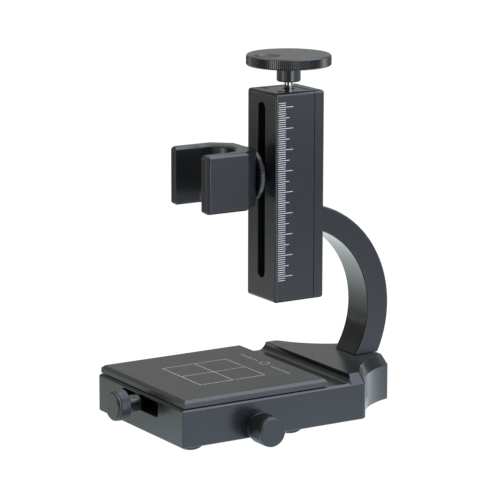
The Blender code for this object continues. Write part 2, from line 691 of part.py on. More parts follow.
def build_focus_drive():
    """Lead screw, hand wheel with hub and dimple, and the hub's set screw."""
    axis_place = (0.0, LEAD_Y, 0.0)
    axis = add_empty("z_drive_axis", axis_place, STAND)
    rod("lead_screw", LEAD_RADIUS, LEAD_Z[0], LEAD_Z[1], axis_place, "Z", STEEL, axis, 24, chamfer=0.0004)
    low, high = WHEEL_Z
    chamfer = WHEEL_CHAMFER
    bore = LEAD_RADIUS + GAP
    profile = [
        (0.0, high),
        (WHEEL_RADIUS - chamfer, high),
        (WHEEL_RADIUS, high - chamfer),
        (WHEEL_RADIUS, low + chamfer),
        (WHEEL_RADIUS - chamfer, low),
        (HUB_RADIUS, low),
        (HUB_RADIUS, HUB_BOTTOM_Z + chamfer),
        (HUB_RADIUS - chamfer, HUB_BOTTOM_Z),
        (bore, HUB_BOTTOM_Z),
        (bore, LEAD_Z[1] + GAP),
        (0.0, LEAD_Z[1] + GAP),
    ]
    wheel = turned("hand_wheel", profile, axis_place, "Z", BLACK, axis, STEPS_WHEEL)
    ball = (DIMPLE_RADIUS ** 2 + DIMPLE_DEPTH ** 2) / (2 * DIMPLE_DEPTH)
    made = bmesh.new()
    bmesh.ops.create_uvsphere(made, u_segments=24, v_segments=36, radius=ball)
    mesh = bpy.data.meshes.new("dimple_tool")
    made.to_mesh(mesh)
    made.free()
    place = (0.0, LEAD_Y - DIMPLE_OFFSET, high - DIMPLE_DEPTH + ball)
    combine(wheel, add_object("dimple_tool", mesh, place, None))
    screw_place = (0.0, 0.0, SET_SCREW_Z)
    start = LEAD_Y + LEAD_RADIUS
    drill(wheel, "set_screw_hole", 0.0013, start, LEAD_Y + HUB_RADIUS + 0.002, screw_place, "Y")
    end = LEAD_Y + HUB_RADIUS - GAP
    rod("wheel_set_screw", 0.0010, start + 0.0006, end, screw_place, "Y", SCREW_BLACK, axis, 16)


def build_z_carriage():
    """The carriage in the column, with its nut, spindle and spacer."""
    place = (0.0, 0.0, CLIP_Z)
    moving = add_empty("z_carriage_frame", place, STAND)
    low = (-Z_BLOCK_HALF_WIDTH, Z_BLOCK_Y[0], Z_BLOCK_Z[0])
    high = (Z_BLOCK_HALF_WIDTH, Z_BLOCK_Y[1], Z_BLOCK_Z[1])
    block = box("z_carriage", low, high, BLACK, moving)
    lead_place = (0.0, LEAD_Y, 0.0)
    drill(block, "z_nut_hole", Z_NUT_RADIUS + GAP, 0.09, 0.14, lead_place, "Z", steps=24)
    drill(block, "spindle_hole", SPINDLE_RADIUS + GAP, -0.001, SPINDLE_Y[1] + 0.0005, place, "Y")
    for number, side in enumerate((-1, 1), start=1):
        rod_place = (side * Z_ROD[0], Z_ROD[1], 0.0)
        drill(block, f"z_rod_bore_{number}", ROD_RADIUS + GAP, 0.09, 0.14, rod_place, "Z")
    bore = LEAD_RADIUS + GAP
    flange_top = Z_BLOCK_Z[0] - GAP
    profile = [
        (bore, Z_BLOCK_Z[1]),
        (Z_NUT_RADIUS, Z_BLOCK_Z[1]),
        (Z_NUT_RADIUS, flange_top),
        (Z_NUT_FLANGE_RADIUS, flange_top),
        (Z_NUT_FLANGE_RADIUS, flange_top - 0.0018),
        (bore, flange_top - 0.0018),
    ]
    turned("z_nut", profile, lead_place, "Z", BRASS, moving, 24, ring=True)
    start, end = SPINDLE_Y
    inner = 0.0018
    inner_end = start + 0.0060
    profile = [
        (0.0, end),
        (SPINDLE_RADIUS, end),
        (SPINDLE_RADIUS, start),
        (inner, start),
        (inner, inner_end),
        (0.0, inner_end),
    ]
    turned("clip_spindle", profile, place, "Y", STEEL, moving, 24)
    bore = SPINDLE_RADIUS + GAP
    sleeve("spindle_spacer", bore, SPACER_RADIUS, SPACER_Y[0], SPACER_Y[1], place, "Y", BLACK, moving, 32)


# ---------------------------------------------------------------- clip

def clip_outline():
    """The fork from above, about the spindle's axis: flat sides, cut rear corners and a round-ended mouth."""
    cut = CLIP_FRONT_CUT
    right = [
        (CLIP_MOUTH_HALF, CLIP_FRONT_Y),
        (CLIP_HALF_WIDTH - cut, CLIP_FRONT_Y),
        (CLIP_HALF_WIDTH, CLIP_FRONT_Y + cut),
        (CLIP_HALF_WIDTH, CLIP_SIDE_END_Y),
        (CLIP_BACK_HALF_WIDTH, CLIP_BACK_Y),
    ]
    left = [(-x, y) for x, y in reversed(right)]
    mouth = arc((0.0, CLIP_BORE_Y), CLIP_MOUTH_HALF, math.pi, 0.0, 24)
    return right + left + mouth


def build_clip():
    """The fork, the screw that holds it on the spindle, and the lock ring."""
    place = (0.0, 0.0, CLIP_Z)
    tilt = add_empty("clip_axis", place, STAND)
    fork = outline_solid("clip_fork", clip_outline(), CLIP_HALF_HEIGHT, place, BLACK)
    fork.parent = tilt
    fork.location = (0.0, 0.0, 0.0)
    bevel(fork, CLIP_BEVEL)
    seat = -0.0135
    stepped_hole(fork, "clip_screw_hole", (0.0038, -0.03, seat), (0.0018, seat, 0.0), place, "Y")
    screw_piece("clip_screw", place, "Y", 0.0015, 0.0035, seat - 0.0026, seat - GAP, SPINDLE_Y[0] + 0.0050, tilt)
    ring_axis = add_empty("lock_ring_axis", place, STAND)
    bore = SPINDLE_RADIUS + GAP
    low, high = RING_Y
    chamfer = 0.0003
    profile = [
        (bore, high),
        (RING_RADIUS - chamfer, high),
        (RING_RADIUS, high - chamfer),
        (RING_RADIUS, low + chamfer),
        (RING_RADIUS - chamfer, low),
        (bore, low),
    ]
    turned("lock_ring", profile, place, "Y", BLACK, ring_axis, 48, ring=True)


# ---------------------------------------------------------------- stage drives

def knob(name, start, end, neck_radius, neck_end, place, axis, parent):
    """A knurled knob with a neck and a blind hole for its screw; start is its back, end is its face."""
    way = 1 if end > start else -1
    chamfer = KNOB_CHAMFER * way
    bore = SCREW_RADIUS + GAP
    hole_end = start + (end - start) * 0.55
    profile = [
        (0.0, end),
        (KNOB_RADIUS - KNOB_CHAMFER, end),
        (KNOB_RADIUS, end - chamfer),
        (KNOB_RADIUS, start + chamfer / 2),
        (KNOB_RADIUS - KNOB_CHAMFER / 2, start),
        (neck_radius, start),
        (neck_radius, neck_end),
        (bore, neck_end),
        (bore, hole_end),
        (0.0, hole_end),
    ]
    if way < 0:
        profile.reverse()
    turned(name, profile, place, axis, BLACK, parent, STEPS_KNOB)
    return hole_end - way * GAP


def build_x_drive():
    """Knob, screw, bushes and retaining ring of the X axis, and the rods its saddle runs on."""
    place = (0.0, X_AXIS_Y, X_AXIS_Z)
    axis = add_empty("x_drive_axis", place, STAND)
    bore = SCREW_RADIUS + GAP
    flange_start = BASE_HALF_WIDTH + GAP
    neck_end = X_BUSH_FLANGE_END + GAP
    screw_end = knob("x_knob", X_KNOB_X[0], X_KNOB_X[1], X_NECK_RADIUS, neck_end, place, "X", axis)
    rod("x_screw", SCREW_RADIUS, -0.0335, screw_end, place, "X", STEEL, axis)
    sleeve("x_retaining_ring", bore, 0.0032, 0.0245, 0.0254, place, "X", STEEL, axis)
    profile = [
        (bore, X_BUSH_FLANGE_END),
        (X_BUSH_FLANGE_RADIUS - 0.0004, X_BUSH_FLANGE_END),
        (X_BUSH_FLANGE_RADIUS, X_BUSH_FLANGE_END - 0.0004),
        (X_BUSH_FLANGE_RADIUS, flange_start),
        (BUSH_BODY_RADIUS, flange_start),
        (BUSH_BODY_RADIUS, POCKET_HALF_WIDTH + GAP),
        (bore, POCKET_HALF_WIDTH + GAP),
    ]
    turned("x_bush", profile, place, "X", BLACK, None, STEPS_KNOB, ring=True)
    sleeve("x_end_bush", bore, BUSH_BODY_RADIUS, -0.0343, -POCKET_HALF_WIDTH - GAP, place, "X", BRASS)
    for number, side in enumerate((-1, 1), start=1):
        rod_place = (0.0, X_AXIS_Y + side * X_ROD_OFFSET, X_AXIS_Z)
        rod(f"x_guide_rod_{number}", ROD_RADIUS, -0.0307, 0.0307, rod_place, "X", STEEL)


def build_saddle():
    """The saddle that moves in X: its nut, its two lugs and the rods of the Y axis."""
    place = (0.0, X_AXIS_Y, X_AXIS_Z)
    moving = add_empty("x_carriage_frame", place, STAND)
    half = SADDLE_HALF_WIDTH
    low = (-half, SADDLE_Y[0], SADDLE_Z[0])
    high = (half, SADDLE_Y[1], SADDLE_Z[1])
    saddle = box("x_saddle", low, high, BLACK, moving)
    overlap = 0.001
    for index, start in enumerate((SADDLE_Y[0], SADDLE_Y[1] - LUG_THICKNESS)):
        low = (-half, start, SADDLE_Z[1] - overlap)
        high = (half, start + LUG_THICKNESS, LUG_TOP_Z)
        combine(saddle, box(f"lug_form_{index}", low, high, None), "UNION")
    drill(saddle, "x_nut_hole", NUT_RADIUS + GAP, -0.02, 0.02, place, "X")
    y_place = (0.0, 0.0, Y_AXIS_Z)
    drill(saddle, "y_screw_bore", SCREW_RADIUS + GAP, -0.06, 0.0, y_place, "Y")
    for number, side in enumerate((-1, 1), start=1):
        rod_place = (0.0, X_AXIS_Y + side * X_ROD_OFFSET, X_AXIS_Z)
        drill(saddle, f"x_rod_bore_{number}", ROD_RADIUS + GAP, -0.02, 0.02, rod_place, "X")
        rod_place = (side * Y_ROD_OFFSET, 0.0, Y_AXIS_Z)
        drill(saddle, f"y_rod_bore_{number}", ROD_RADIUS + GAP, -0.06, 0.0, rod_place, "Y")
        rod(f"y_guide_rod_{number}", ROD_RADIUS, -0.0530, -0.0024, rod_place, "Y", STEEL, moving)
    sleeve("x_nut", SCREW_RADIUS + GAP, NUT_RADIUS, -half, half, place, "X", BRASS, moving)


def build_y_drive():
    """Knob and screw of the Y axis; they ride on the saddle."""
    place = (0.0, 0.0, Y_AXIS_Z)
    axis = add_empty("y_drive_axis", place, STAND)
    screw_end = knob("y_knob", Y_KNOB_Y[1], Y_KNOB_Y[0], Y_NECK_RADIUS, Y_NECK_END, place, "Y", axis)
    rod("y_screw", SCREW_RADIUS, screw_end, SADDLE_Y[1] - 0.0004, place, "Y", STEEL, axis)


def build_stage():
    """The stage plate and the carriage under it, with its nut and screws."""
    place = (0.0, STAGE_CENTRE_Y, Y_AXIS_Z)
    moving = add_empty("stage_frame", place, STAND)
    half = STAGE_HALF_WIDTH
    plate = box("stage_plate", (-half, STAGE_Y[0], STAGE_Z[0]), (half, STAGE_Y[1], STAGE_Z[1]), STAGE_GREY, moving)
    shaped = bmesh.new()
    shaped.from_mesh(plate.data)
    top = [edge for edge in shaped.edges if min(vert.co.z for vert in edge.verts) > 0.0]
    bmesh.ops.bevel(shaped, geom=top, offset=STAGE_BEVEL, segments=1, affect="EDGES")
    shaped.to_mesh(plate.data)
    shaped.free()
    half = CARRIAGE_HALF_WIDTH
    low = (-half, STAGE_CENTRE_Y - CARRIAGE_HALF_LENGTH, CARRIAGE_Z[0])
    high = (half, STAGE_CENTRE_Y + CARRIAGE_HALF_LENGTH, CARRIAGE_Z[1])
    carriage = box("stage_carriage", low, high, BLACK, moving)
    y_place = (0.0, 0.0, Y_AXIS_Z)
    drill(carriage, "y_nut_hole", NUT_RADIUS + GAP, -0.04, -0.01, y_place, "Y")
    start = STAGE_CENTRE_Y - CARRIAGE_HALF_LENGTH
    end = STAGE_CENTRE_Y + CARRIAGE_HALF_LENGTH
    sleeve("y_nut", SCREW_RADIUS + GAP, NUT_RADIUS, start, end, y_place, "Y", BRASS, moving)
    head_z = STAGE_SCREW_SEAT_Z - 0.0018
    for number, side in enumerate((-1, 1), start=1):
        rod_place = (side * Y_ROD_OFFSET, 0.0, Y_AXIS_Z)
        drill(carriage, f"y_rod_run_{number}", ROD_RADIUS + GAP, -0.04, -0.01, rod_place, "Y")
        screw_place = (side * 0.0056, STAGE_CENTRE_Y, 0.0)
        shank = (0.0013, STAGE_SCREW_SEAT_Z, CARRIAGE_Z[1] + 0.001)
        stepped_hole(carriage, f"stage_hole_{number}", (0.0021, 0.010, STAGE_SCREW_SEAT_Z), shank, screw_place, "Z")
        drill(plate, f"stage_tap_hole_{number}", 0.0013, 0.019, STAGE_SCREW_TIP_Z + GAP, screw_place, "Z")
        screw_piece(f"stage_screw_{number}", screw_place, "Z", 0.0010, 0.0018, head_z, STAGE_SCREW_SEAT_Z - GAP, STAGE_SCREW_TIP_Z, moving)


build_base()
build_cover()
build_feet()
build_arm()
build_housing()
build_rear_plate()
build_top_cap()
build_z_rods()
build_focus_drive()
build_z_carriage()
build_clip()
build_x_drive()
build_saddle()
build_y_drive()
build_stage()
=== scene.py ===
"""Looks of the microscope stand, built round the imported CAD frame.

Shapes are worked out in millimetres in the stand's own frame: X = 0 is the plane of symmetry, Y = 0 the
column's front face, Z = 0 the table. They are scaled to metres when a piece is put in its place.
"""
import json
import math

import bmesh
import bpy
from mathutils import Matrix, Vector


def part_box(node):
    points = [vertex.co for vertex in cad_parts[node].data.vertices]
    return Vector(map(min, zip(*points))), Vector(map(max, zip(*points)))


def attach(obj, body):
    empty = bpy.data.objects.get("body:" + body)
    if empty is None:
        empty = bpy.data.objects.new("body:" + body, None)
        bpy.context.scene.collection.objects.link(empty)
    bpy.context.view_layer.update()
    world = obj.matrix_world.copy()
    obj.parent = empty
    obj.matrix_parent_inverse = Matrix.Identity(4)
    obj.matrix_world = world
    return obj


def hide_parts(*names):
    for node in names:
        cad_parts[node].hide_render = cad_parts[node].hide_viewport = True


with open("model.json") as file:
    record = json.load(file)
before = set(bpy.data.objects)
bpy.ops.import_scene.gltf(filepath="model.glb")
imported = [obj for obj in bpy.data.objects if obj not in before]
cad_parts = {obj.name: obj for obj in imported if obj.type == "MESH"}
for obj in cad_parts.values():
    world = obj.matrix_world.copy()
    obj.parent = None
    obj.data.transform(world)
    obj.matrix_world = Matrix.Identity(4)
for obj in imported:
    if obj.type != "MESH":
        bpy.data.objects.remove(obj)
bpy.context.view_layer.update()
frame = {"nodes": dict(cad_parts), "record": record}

MM = 0.001

# Where the stand's own frame is in the row's frame
BASE_LOW, BASE_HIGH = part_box("base_block")
STAND = Vector(((BASE_LOW.x + BASE_HIGH.x) / 2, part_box("column_housing")[0].y, 0.0))

# Turns that lay a turned piece's axis along X, Y or Z
UPRIGHT = {
    "X": Matrix.Rotation(math.pi / 2, 4, "Y"),
    "Y": Matrix.Rotation(-math.pi / 2, 4, "X"),
    "Z": Matrix.Identity(4),
}
# Turns that lay an outline in the YZ plane, and in the XZ plane
ACROSS = Matrix(((0, 0, 1, 0), (1, 0, 0, 0), (0, 1, 0, 0), (0, 0, 0, 1)))
FACING = Matrix(((1, 0, 0, 0), (0, 0, 1, 0), (0, 1, 0, 0), (0, 0, 0, 1)))

# Beyond every face of the stand, and a little past a face that a tool leaves
FAR = 40.0
PAST = 1.0
# Room round a piece that is let into another
GAP = 0.3
TURN = 2 * math.pi


def span(node):
    """Lowest and highest corner of a CAD node, in millimetres in the stand's frame."""
    low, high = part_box(node)
    return (low - STAND) / MM, (high - STAND) / MM


def middle(node):
    """Middle of a CAD node's box, in millimetres in the stand's frame."""
    low, high = span(node)
    return (low + high) / 2


def plan(node):
    """Centre and half size of a CAD node, from above."""
    low, high = span(node)
    return ((low.x + high.x) / 2, (low.y + high.y) / 2), ((high.x - low.x) / 2, (high.y - low.y) / 2)


def axis_place(node, axis):
    """A point on the axis that runs through the middle of a CAD node."""
    centre = middle(node)
    centre["XYZ".index(axis)] = 0.0
    return centre


# ---------------------------------------------------------------- node helpers

def node_tree(name):
    """A new material with an empty tree, and its output."""
    made = bpy.data.materials.new(name)
    made.use_nodes = True
    tree = made.node_tree
    tree.nodes.clear()
    return made, tree, tree.nodes.new("ShaderNodeOutputMaterial")


def add_node(tree, kind, inputs=None, **settings):
    """A node with some settings, and values or links for some inputs."""
    node = tree.nodes.new(kind)
    for key, value in settings.items():
        setattr(node, key, value)
    for key, value in (inputs or {}).items():
        if isinstance(value, bpy.types.NodeSocket):
            tree.links.new(value, node.inputs[key])
        else:
            node.inputs[key].default_value = value
    return node


def noise(tree, vector, scale, detail=2.0, roughness=0.5):
    """A noise value at a number of features per metre."""
    inputs = {"Vector": vector, "Scale": scale, "Detail": detail, "Roughness": roughness}
    return add_node(tree, "ShaderNodeTexNoise", inputs).outputs["Fac"]


def ramp(tree, value, low, high):
    """A value in 0..1, spread from low to high."""
    inputs = {"Value": value, "To Min": low, "To Max": high}
    return add_node(tree, "ShaderNodeMapRange", inputs).outputs["Result"]


def smooth_step(tree, value, start, end, first=0.0, last=1.0):
    """A smooth step from first to last, while a value goes from start to end."""
    inputs = {"Value": value, "From Min": start, "From Max": end, "To Min": first, "To Max": last}
    return add_node(tree, "ShaderNodeMapRange", inputs, interpolation_type="SMOOTHSTEP").outputs["Result"]


def scaled(tree, vector, factor):
    """A vector times a value."""
    node = add_node(tree, "ShaderNodeVectorMath", {0: vector, "Scale": factor}, operation="SCALE")
    return node.outputs["Vector"]


def vector_math(tree, operation, first, second):
    """Two vectors, worked on part by part."""
    node = add_node(tree, "ShaderNodeVectorMath", {0: first, 1: second}, operation=operation)
    return node.outputs["Vector"]


def value_math(tree, operation, *values):
    """Some values, worked on."""
    inputs = dict(enumerate(values))
    return add_node(tree, "ShaderNodeMath", inputs, operation=operation).outputs["Value"]


def blend(tree, factor, first, second):
    """Two colours, mixed by a factor. The first may be a link."""
    node = add_node(tree, "ShaderNodeMix", data_type="RGBA")
    tree.links.new(factor, node.inputs["Factor"])
    if isinstance(first, bpy.types.NodeSocket):
        tree.links.new(first, node.inputs["A"])
    else:
        node.inputs["A"].default_value = (*first, 1.0)
    node.inputs["B"].default_value = (*second, 1.0)
    return node.outputs["Result"]


def bump(tree, height, strength, distance, normal=None):
    """A bump of a height, over an earlier normal."""
    inputs = {"Height": height, "Strength": strength, "Distance": distance}
    if normal is not None:
        inputs["Normal"] = normal
    return add_node(tree, "ShaderNodeBump", inputs).outputs["Normal"]


def coordinates(tree):
    """The piece's own coordinates, in metres."""
    return tree.nodes.new("ShaderNodeTexCoord").outputs["Object"]


def coat_with(tree, output, inputs):
    """Make a principled surface the material's own."""
    shader = add_node(tree, "ShaderNodeBsdfPrincipled", inputs)
    tree.links.new(shader.outputs["BSDF"], output.inputs["Surface"])


# ---------------------------------------------------------------- materials

def anodised(name, dark, light, rough=(0.21, 0.28), grain=0.10, turned=False, specular=0.62):
    """Satin anodised aluminium: fine blasted grain, faint mottling, and lathe rings where it is turned."""
    made, tree, output = node_tree(name)
    place = coordinates(tree)
    mottle = noise(tree, place, 90.0, 3.0)
    fine = noise(tree, place, 5200.0, 2.0, 0.6)
    colour = blend(tree, mottle, dark, light)
    roughness = ramp(tree, noise(tree, place, 420.0, 4.0), rough[0], rough[1])
    normal = bump(tree, fine, grain, 0.00002)
    if turned:
        rings = add_node(
            tree, "ShaderNodeTexWave", {"Vector": place, "Scale": 1100.0, "Distortion": 0.6, "Detail": 1.0},
            wave_type="RINGS", rings_direction="Z", wave_profile="SIN")
        normal = bump(tree, rings.outputs["Fac"], 0.12, 0.00002, normal)
    coat_with(tree, output, {
        "Base Color": colour, "Roughness": roughness, "Normal": normal,
        "Specular IOR Level": specular, "Metallic": 0.0})
    return made


def bare_metal(name, dark, light, rough, streak):
    """Bare metal with fine streaks along or round it."""
    made, tree, output = node_tree(name)
    place = coordinates(tree)
    stretched = add_node(tree, "ShaderNodeMapping", {"Vector": place, "Scale": streak}).outputs["Vector"]
    lines = noise(tree, stretched, 1500.0, 3.0, 0.6)
    colour = blend(tree, noise(tree, place, 300.0, 2.0), dark, light)
    roughness = ramp(tree, lines, rough[0], rough[1])
    normal = bump(tree, lines, 0.06, 0.00002)
    coat_with(tree, output, {"Base Color": colour, "Roughness": roughness, "Normal": normal, "Metallic": 1.0})
    return made


def rubber(name):
    """Moulded rubber: fine pores and a dusty bloom."""
    made, tree, output = node_tree(name)
    place = coordinates(tree)
    colour = blend(tree, noise(tree, place, 500.0, 4.0), (0.012, 0.012, 0.012), (0.03, 0.029, 0.027))
    pores = add_node(tree, "ShaderNodeTexVoronoi", {"Vector": place, "Scale": 2600.0}).outputs["Distance"]
    roughness = ramp(tree, noise(tree, place, 900.0), 0.68, 0.85)
    coat_with(tree, output, {
        "Base Color": colour, "Roughness": roughness, "Normal": bump(tree, pores, 0.25, 0.00003)})
    return made


def marking(name, colour, worn):
    """Paint or bare metal in an engraved line, a little uneven."""
    made, tree, output = node_tree(name)
    speckle = noise(tree, coordinates(tree), 2600.0, 3.0, 0.6)
    coat_with(tree, output, {
        "Base Color": blend(tree, speckle, worn, colour), "Roughness": ramp(tree, speckle, 0.5, 0.75),
        "Normal": bump(tree, speckle, 0.2, 0.00001)})
    return made


BLACK_SHADES = ((0.010, 0.0103, 0.0110), (0.014, 0.0143, 0.0152))
KNURL_SHADES = ((0.009, 0.0092, 0.0100), (0.013, 0.0133, 0.0142))
STAGE_SHADES = ((0.022, 0.022, 0.021), (0.030, 0.030, 0.028))
OXIDE_SHADES = ((0.012, 0.012, 0.013), (0.022, 0.022, 0.023))
STEEL_SHADES = ((0.38, 0.38, 0.39), (0.46, 0.46, 0.47))
BRASS_SHADES = ((0.62, 0.44, 0.19), (0.74, 0.55, 0.27))
BLACK = anodised("black_anodised", *BLACK_SHADES)
BLACK_TURNED = anodised("black_anodised_turned", *BLACK_SHADES, turned=True)
BLACK_KNURL = anodised("black_anodised_knurl", *KNURL_SHADES, (0.22, 0.3))
STAGE_FINISH = anodised("stage_anodised", *STAGE_SHADES, (0.34, 0.42), grain=0.18)
STEEL = bare_metal("polished_steel", *STEEL_SHADES, (0.06, 0.14), (1.0, 1.0, 0.05))
BRASS = bare_metal("turned_brass", *BRASS_SHADES, (0.2, 0.34), (1.0, 1.0, 0.1))
RUBBER = rubber("black_rubber")
OXIDE = anodised("black_oxide_steel", *OXIDE_SHADES, (0.28, 0.4), specular=0.7)
WHITE_MARK = marking("white_filled_engraving", (0.74, 0.72, 0.69), (0.55, 0.53, 0.51))
GREY_MARK = marking("laser_marking", (0.62, 0.61, 0.57), (0.46, 0.45, 0.42))

SLOT_MATERIAL = {
    "black_anodised": BLACK,
    "stage_anodised": STAGE_FINISH,
    "polished_steel": STEEL,
    "brass": BRASS,
    "rubber": RUBBER,
    "black_screw": OXIDE,
}
NODE_SLOT = {entry["node"]: entry["material_slot"] for entry in frame["record"]["subparts"]}
NODE_BODY = {
    node: body
    for body, nodes in frame["record"]["behaviour"]["bodies"].items()
    for node in nodes
}


# ---------------------------------------------------------------- mesh helpers

def work_object(name, made):
    """A loose object in millimetres from a bmesh, with its faces pointing out."""
    bmesh.ops.recalc_face_normals(made, faces=made.faces)
    mesh = bpy.data.meshes.new(name)
    made.to_mesh(mesh)
    made.free()
    obj = bpy.data.objects.new(name, mesh)
    bpy.context.scene.collection.objects.link(obj)
    return obj


def bake(obj):
    """Replace a mesh by what its modifiers make of it."""
    mesh = bpy.data.meshes.new_from_object(obj.evaluated_get(bpy.context.evaluated_depsgraph_get()))
    obj.modifiers.clear()
    obj.data = mesh
    return obj


def carve(obj, tools):
    """Cut a piece with tools, one after the other, and remove them."""
    for tool in tools:
        boolean = obj.modifiers.new("carve", "BOOLEAN")
        boolean.operation = "DIFFERENCE"
        boolean.solver = "EXACT"
        boolean.object = tool
    bake(obj)
    for tool in tools:
        bpy.data.objects.remove(tool, do_unlink=True)
    return obj


def soften(obj, width, segments, angle):
    """Round a piece's sharp edges."""
    edge = obj.modifiers.new("soften", "BEVEL")
    edge.width = width
    edge.segments = segments
    edge.limit_method = "ANGLE"
    edge.angle_limit = math.radians(angle)
    edge.use_clamp_overlap = True
    return bake(obj)


def chamfer_rims(obj, width):
    """Chamfer a prism's edges round its top and bottom."""
    made = bmesh.new()
    made.from_mesh(obj.data)
    heights = [vert.co.z for vert in made.verts]
    ends = (min(heights), max(heights))
    rims = [
        edge for edge in made.edges
        if edge.verts[0].co.z == edge.verts[1].co.z and edge.verts[0].co.z in ends
    ]
    bmesh.ops.bevel(
        made, geom=rims, offset=width, segments=1, profile=0.5, affect="EDGES", clamp_overlap=True)
    made.to_mesh(obj.data)
    made.free()
    return obj


def settle(obj, node, material, centre, turn=None, sharp=30.0, body=None):
    """Move a worked piece to its place, in metres, and let it stand for its CAD node."""
    mesh = obj.data
    mesh.name = obj.name
    if turn is not None:
        obj.matrix_world = turn
    mesh.transform(Matrix.Scale(MM, 4))
    mesh.shade_smooth()
    mesh.set_sharp_from_angle(angle=math.radians(sharp))
    mesh.materials.clear()
    mesh.materials.append(material)
    obj.matrix_world = Matrix.Translation(STAND + Vector(centre) * MM) @ obj.matrix_world
    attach(obj, body or NODE_BODY[node])
    if node is not None:
        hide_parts(node)
    weighted = obj.modifiers.new("shading", "WEIGHTED_NORMAL")
    weighted.keep_sharp = True
    return obj


def settle_turned(obj, node, material, axis, sharp=30.0):
    """Put a turned piece on the axis of its CAD node."""
    return settle(obj, node, material, axis_place(node, axis), UPRIGHT[axis], sharp)


def settle_mark(obj, material, body, centre=(0, 0, 0)):
    """Put a marking in its place on a body."""
    settle(obj, None, material, centre, body=body)


def skin(made, rings):
    """Join rings of equal count by side faces, and close both ends."""
    count = len(rings[0])
    for lower, upper in zip(rings, rings[1:]):
        for i in range(count):
            j = (i + 1) % count
            made.faces.new((lower[i], lower[j], upper[j], upper[i]))
    made.faces.new(rings[0])
    made.faces.new(rings[-1])


def stack(name, levels):
    """A solid through outlines of equal count, each at its own height: (height, outline)."""
    made = bmesh.new()
    rings = []
    for height, outline in levels:
        rings.append([made.verts.new((x, y, height)) for x, y in outline])
    skin(made, rings)
    return work_object(name, made)


def add_bar(made, low, high):
    """Add a box between two corners to a bmesh."""
    low = Vector(low)
    high = Vector(high)
    verts = bmesh.ops.create_cube(made, size=1.0)["verts"]
    bmesh.ops.scale(made, vec=high - low, verts=verts)
    bmesh.ops.translate(made, vec=(low + high) / 2, verts=verts)


def block(name, low, high):
    """A plain box between two corners, as a cutting tool."""
    made = bmesh.new()
    add_bar(made, low, high)
    return work_object(name, made)


def turned_solid(name, profile, steps, reach_at=None):
    """A profile of (radius, height) turned about Z. It starts and ends on the axis, or is a closed ring."""
    made = bmesh.new()
    rows = []
    for radius, height in profile:
        if radius == 0.0:
            rows.append([made.verts.new((0.0, 0.0, height))])
            continue
        row = []
        for i in range(steps):
            angle = TURN * i / steps
            reach = reach_at(radius, height, angle) if reach_at else radius
            row.append(made.verts.new((reach * math.cos(angle), reach * math.sin(angle), height)))
        rows.append(row)
    pairs = list(zip(rows, rows[1:]))
    if profile[0][0] != 0.0:
        pairs.append((rows[-1], rows[0]))
    for first, second in pairs:
        if len(first) == 1 and len(second) > 1:
            made.faces.new(second)
        elif len(second) == 1 and len(first) > 1:
            made.faces.new(first)
        elif len(first) > 1:
            for i in range(steps):
                j = (i + 1) % steps
                made.faces.new((first[i], second[i], second[j], first[j]))
    loose = [vert for vert in made.verts if not vert.link_faces]
    bmesh.ops.delete(made, geom=loose, context="VERTS")
    return work_object(name, made)


def hole(name, sections, axis, centre, steps=40):
    """A round cutting tool in sections of (radius, start, end) along an axis."""
    profile = [(0.0, sections[0][1])]
    for radius, start, end in sections:
        profile += [(radius, start), (radius, end)]
    profile.append((0.0, sections[-1][2]))
    tool = turned_solid(name, profile, steps)
    tool.matrix_world = Matrix.Translation(Vector(centre)) @ UPRIGHT[axis]
    bpy.context.view_layer.update()
    return tool


def bores(node, copies, axis, sections, steps=40):
    """Round cutting tools on the axes of a CAD node's numbered copies."""
    tools = []
    for index in range(1, copies + 1):
        copy = f"{node}_{index}"
        tools.append(hole(f"{copy}_bore", sections, axis, axis_place(copy, axis), steps))
    return tools


def arc(centre, radius, start, end, count):
    """Points on an arc, both ends included, angles in radians."""
    points = []
    for i in range(count + 1):
        angle = start + (end - start) * i / count
        points.append((centre[0] + radius * math.cos(angle), centre[1] + radius * math.sin(angle)))
    return points


def rounded(before, corner, after, radius, count):
    """The corner of a path, replaced by a round."""
    corner = Vector(corner)
    to_before = (Vector(before) - corner).normalized()
    to_after = (Vector(after) - corner).normalized()
    half = to_before.angle(to_after) / 2
    centre = corner + (to_before + to_after).normalized() * radius / math.sin(half)
    first = corner + to_before * radius / math.tan(half) - centre
    last = corner + to_after * radius / math.tan(half) - centre
    points = []
    for i in range(count + 1):
        spoke = first.lerp(last, i / count).normalized() * radius
        points.append(tuple(centre + spoke))
    return points


def rounded_rectangle(centre, half, radius, count):
    """A rectangle with round corners."""
    points = []
    for quarter, (sx, sy) in enumerate(((1, 1), (-1, 1), (-1, -1), (1, -1))):
        corner = (centre[0] + sx * (half[0] - radius), centre[1] + sy * (half[1] - radius))
        start = quarter * math.pi / 2
        points += arc(corner, radius, start, start + math.pi / 2, count)
    return points


def plate_solid(name, node, steps, radius):
    """A plate over a CAD node's plan with round corners, through steps of (height, inset)."""
    centre, half = plan(node)
    levels = []
    for height, inset in steps:
        levels.append((height, rounded_rectangle(centre, (half[0] - inset, half[1] - inset), radius, 4)))
    return stack(name, levels)


def slot_tool(name, centre, half, radius, levels, count):
    """A tool along Y that cuts a round-cornered slot, through levels of (depth, growth)."""
    rings = []
    for depth, growth in levels:
        grown = (half[0] + growth, half[1] + growth)
        rings.append((depth, rounded_rectangle(centre, grown, radius + growth, count)))
    tool = stack(name, rings)
    tool.matrix_world = FACING
    return tool


def hexagon(across):
    """A hexagon's outline, by its width across the flats."""
    corner = across / math.sqrt(3)
    return [(corner * math.cos(TURN * i / 6), corner * math.sin(TURN * i / 6)) for i in range(6)]


def wave(position):
    """A soft tooth: 0 at its crest, 1 in its root, over a pitch of 1."""
    return 0.5 - 0.5 * math.cos(TURN * position)


def ridge(position):
    """A sharp tooth: 0 at its crest, 1 in its root, over a pitch of 1."""
    return 1.0 - abs(2.0 * (position % 1.0) - 1.0)


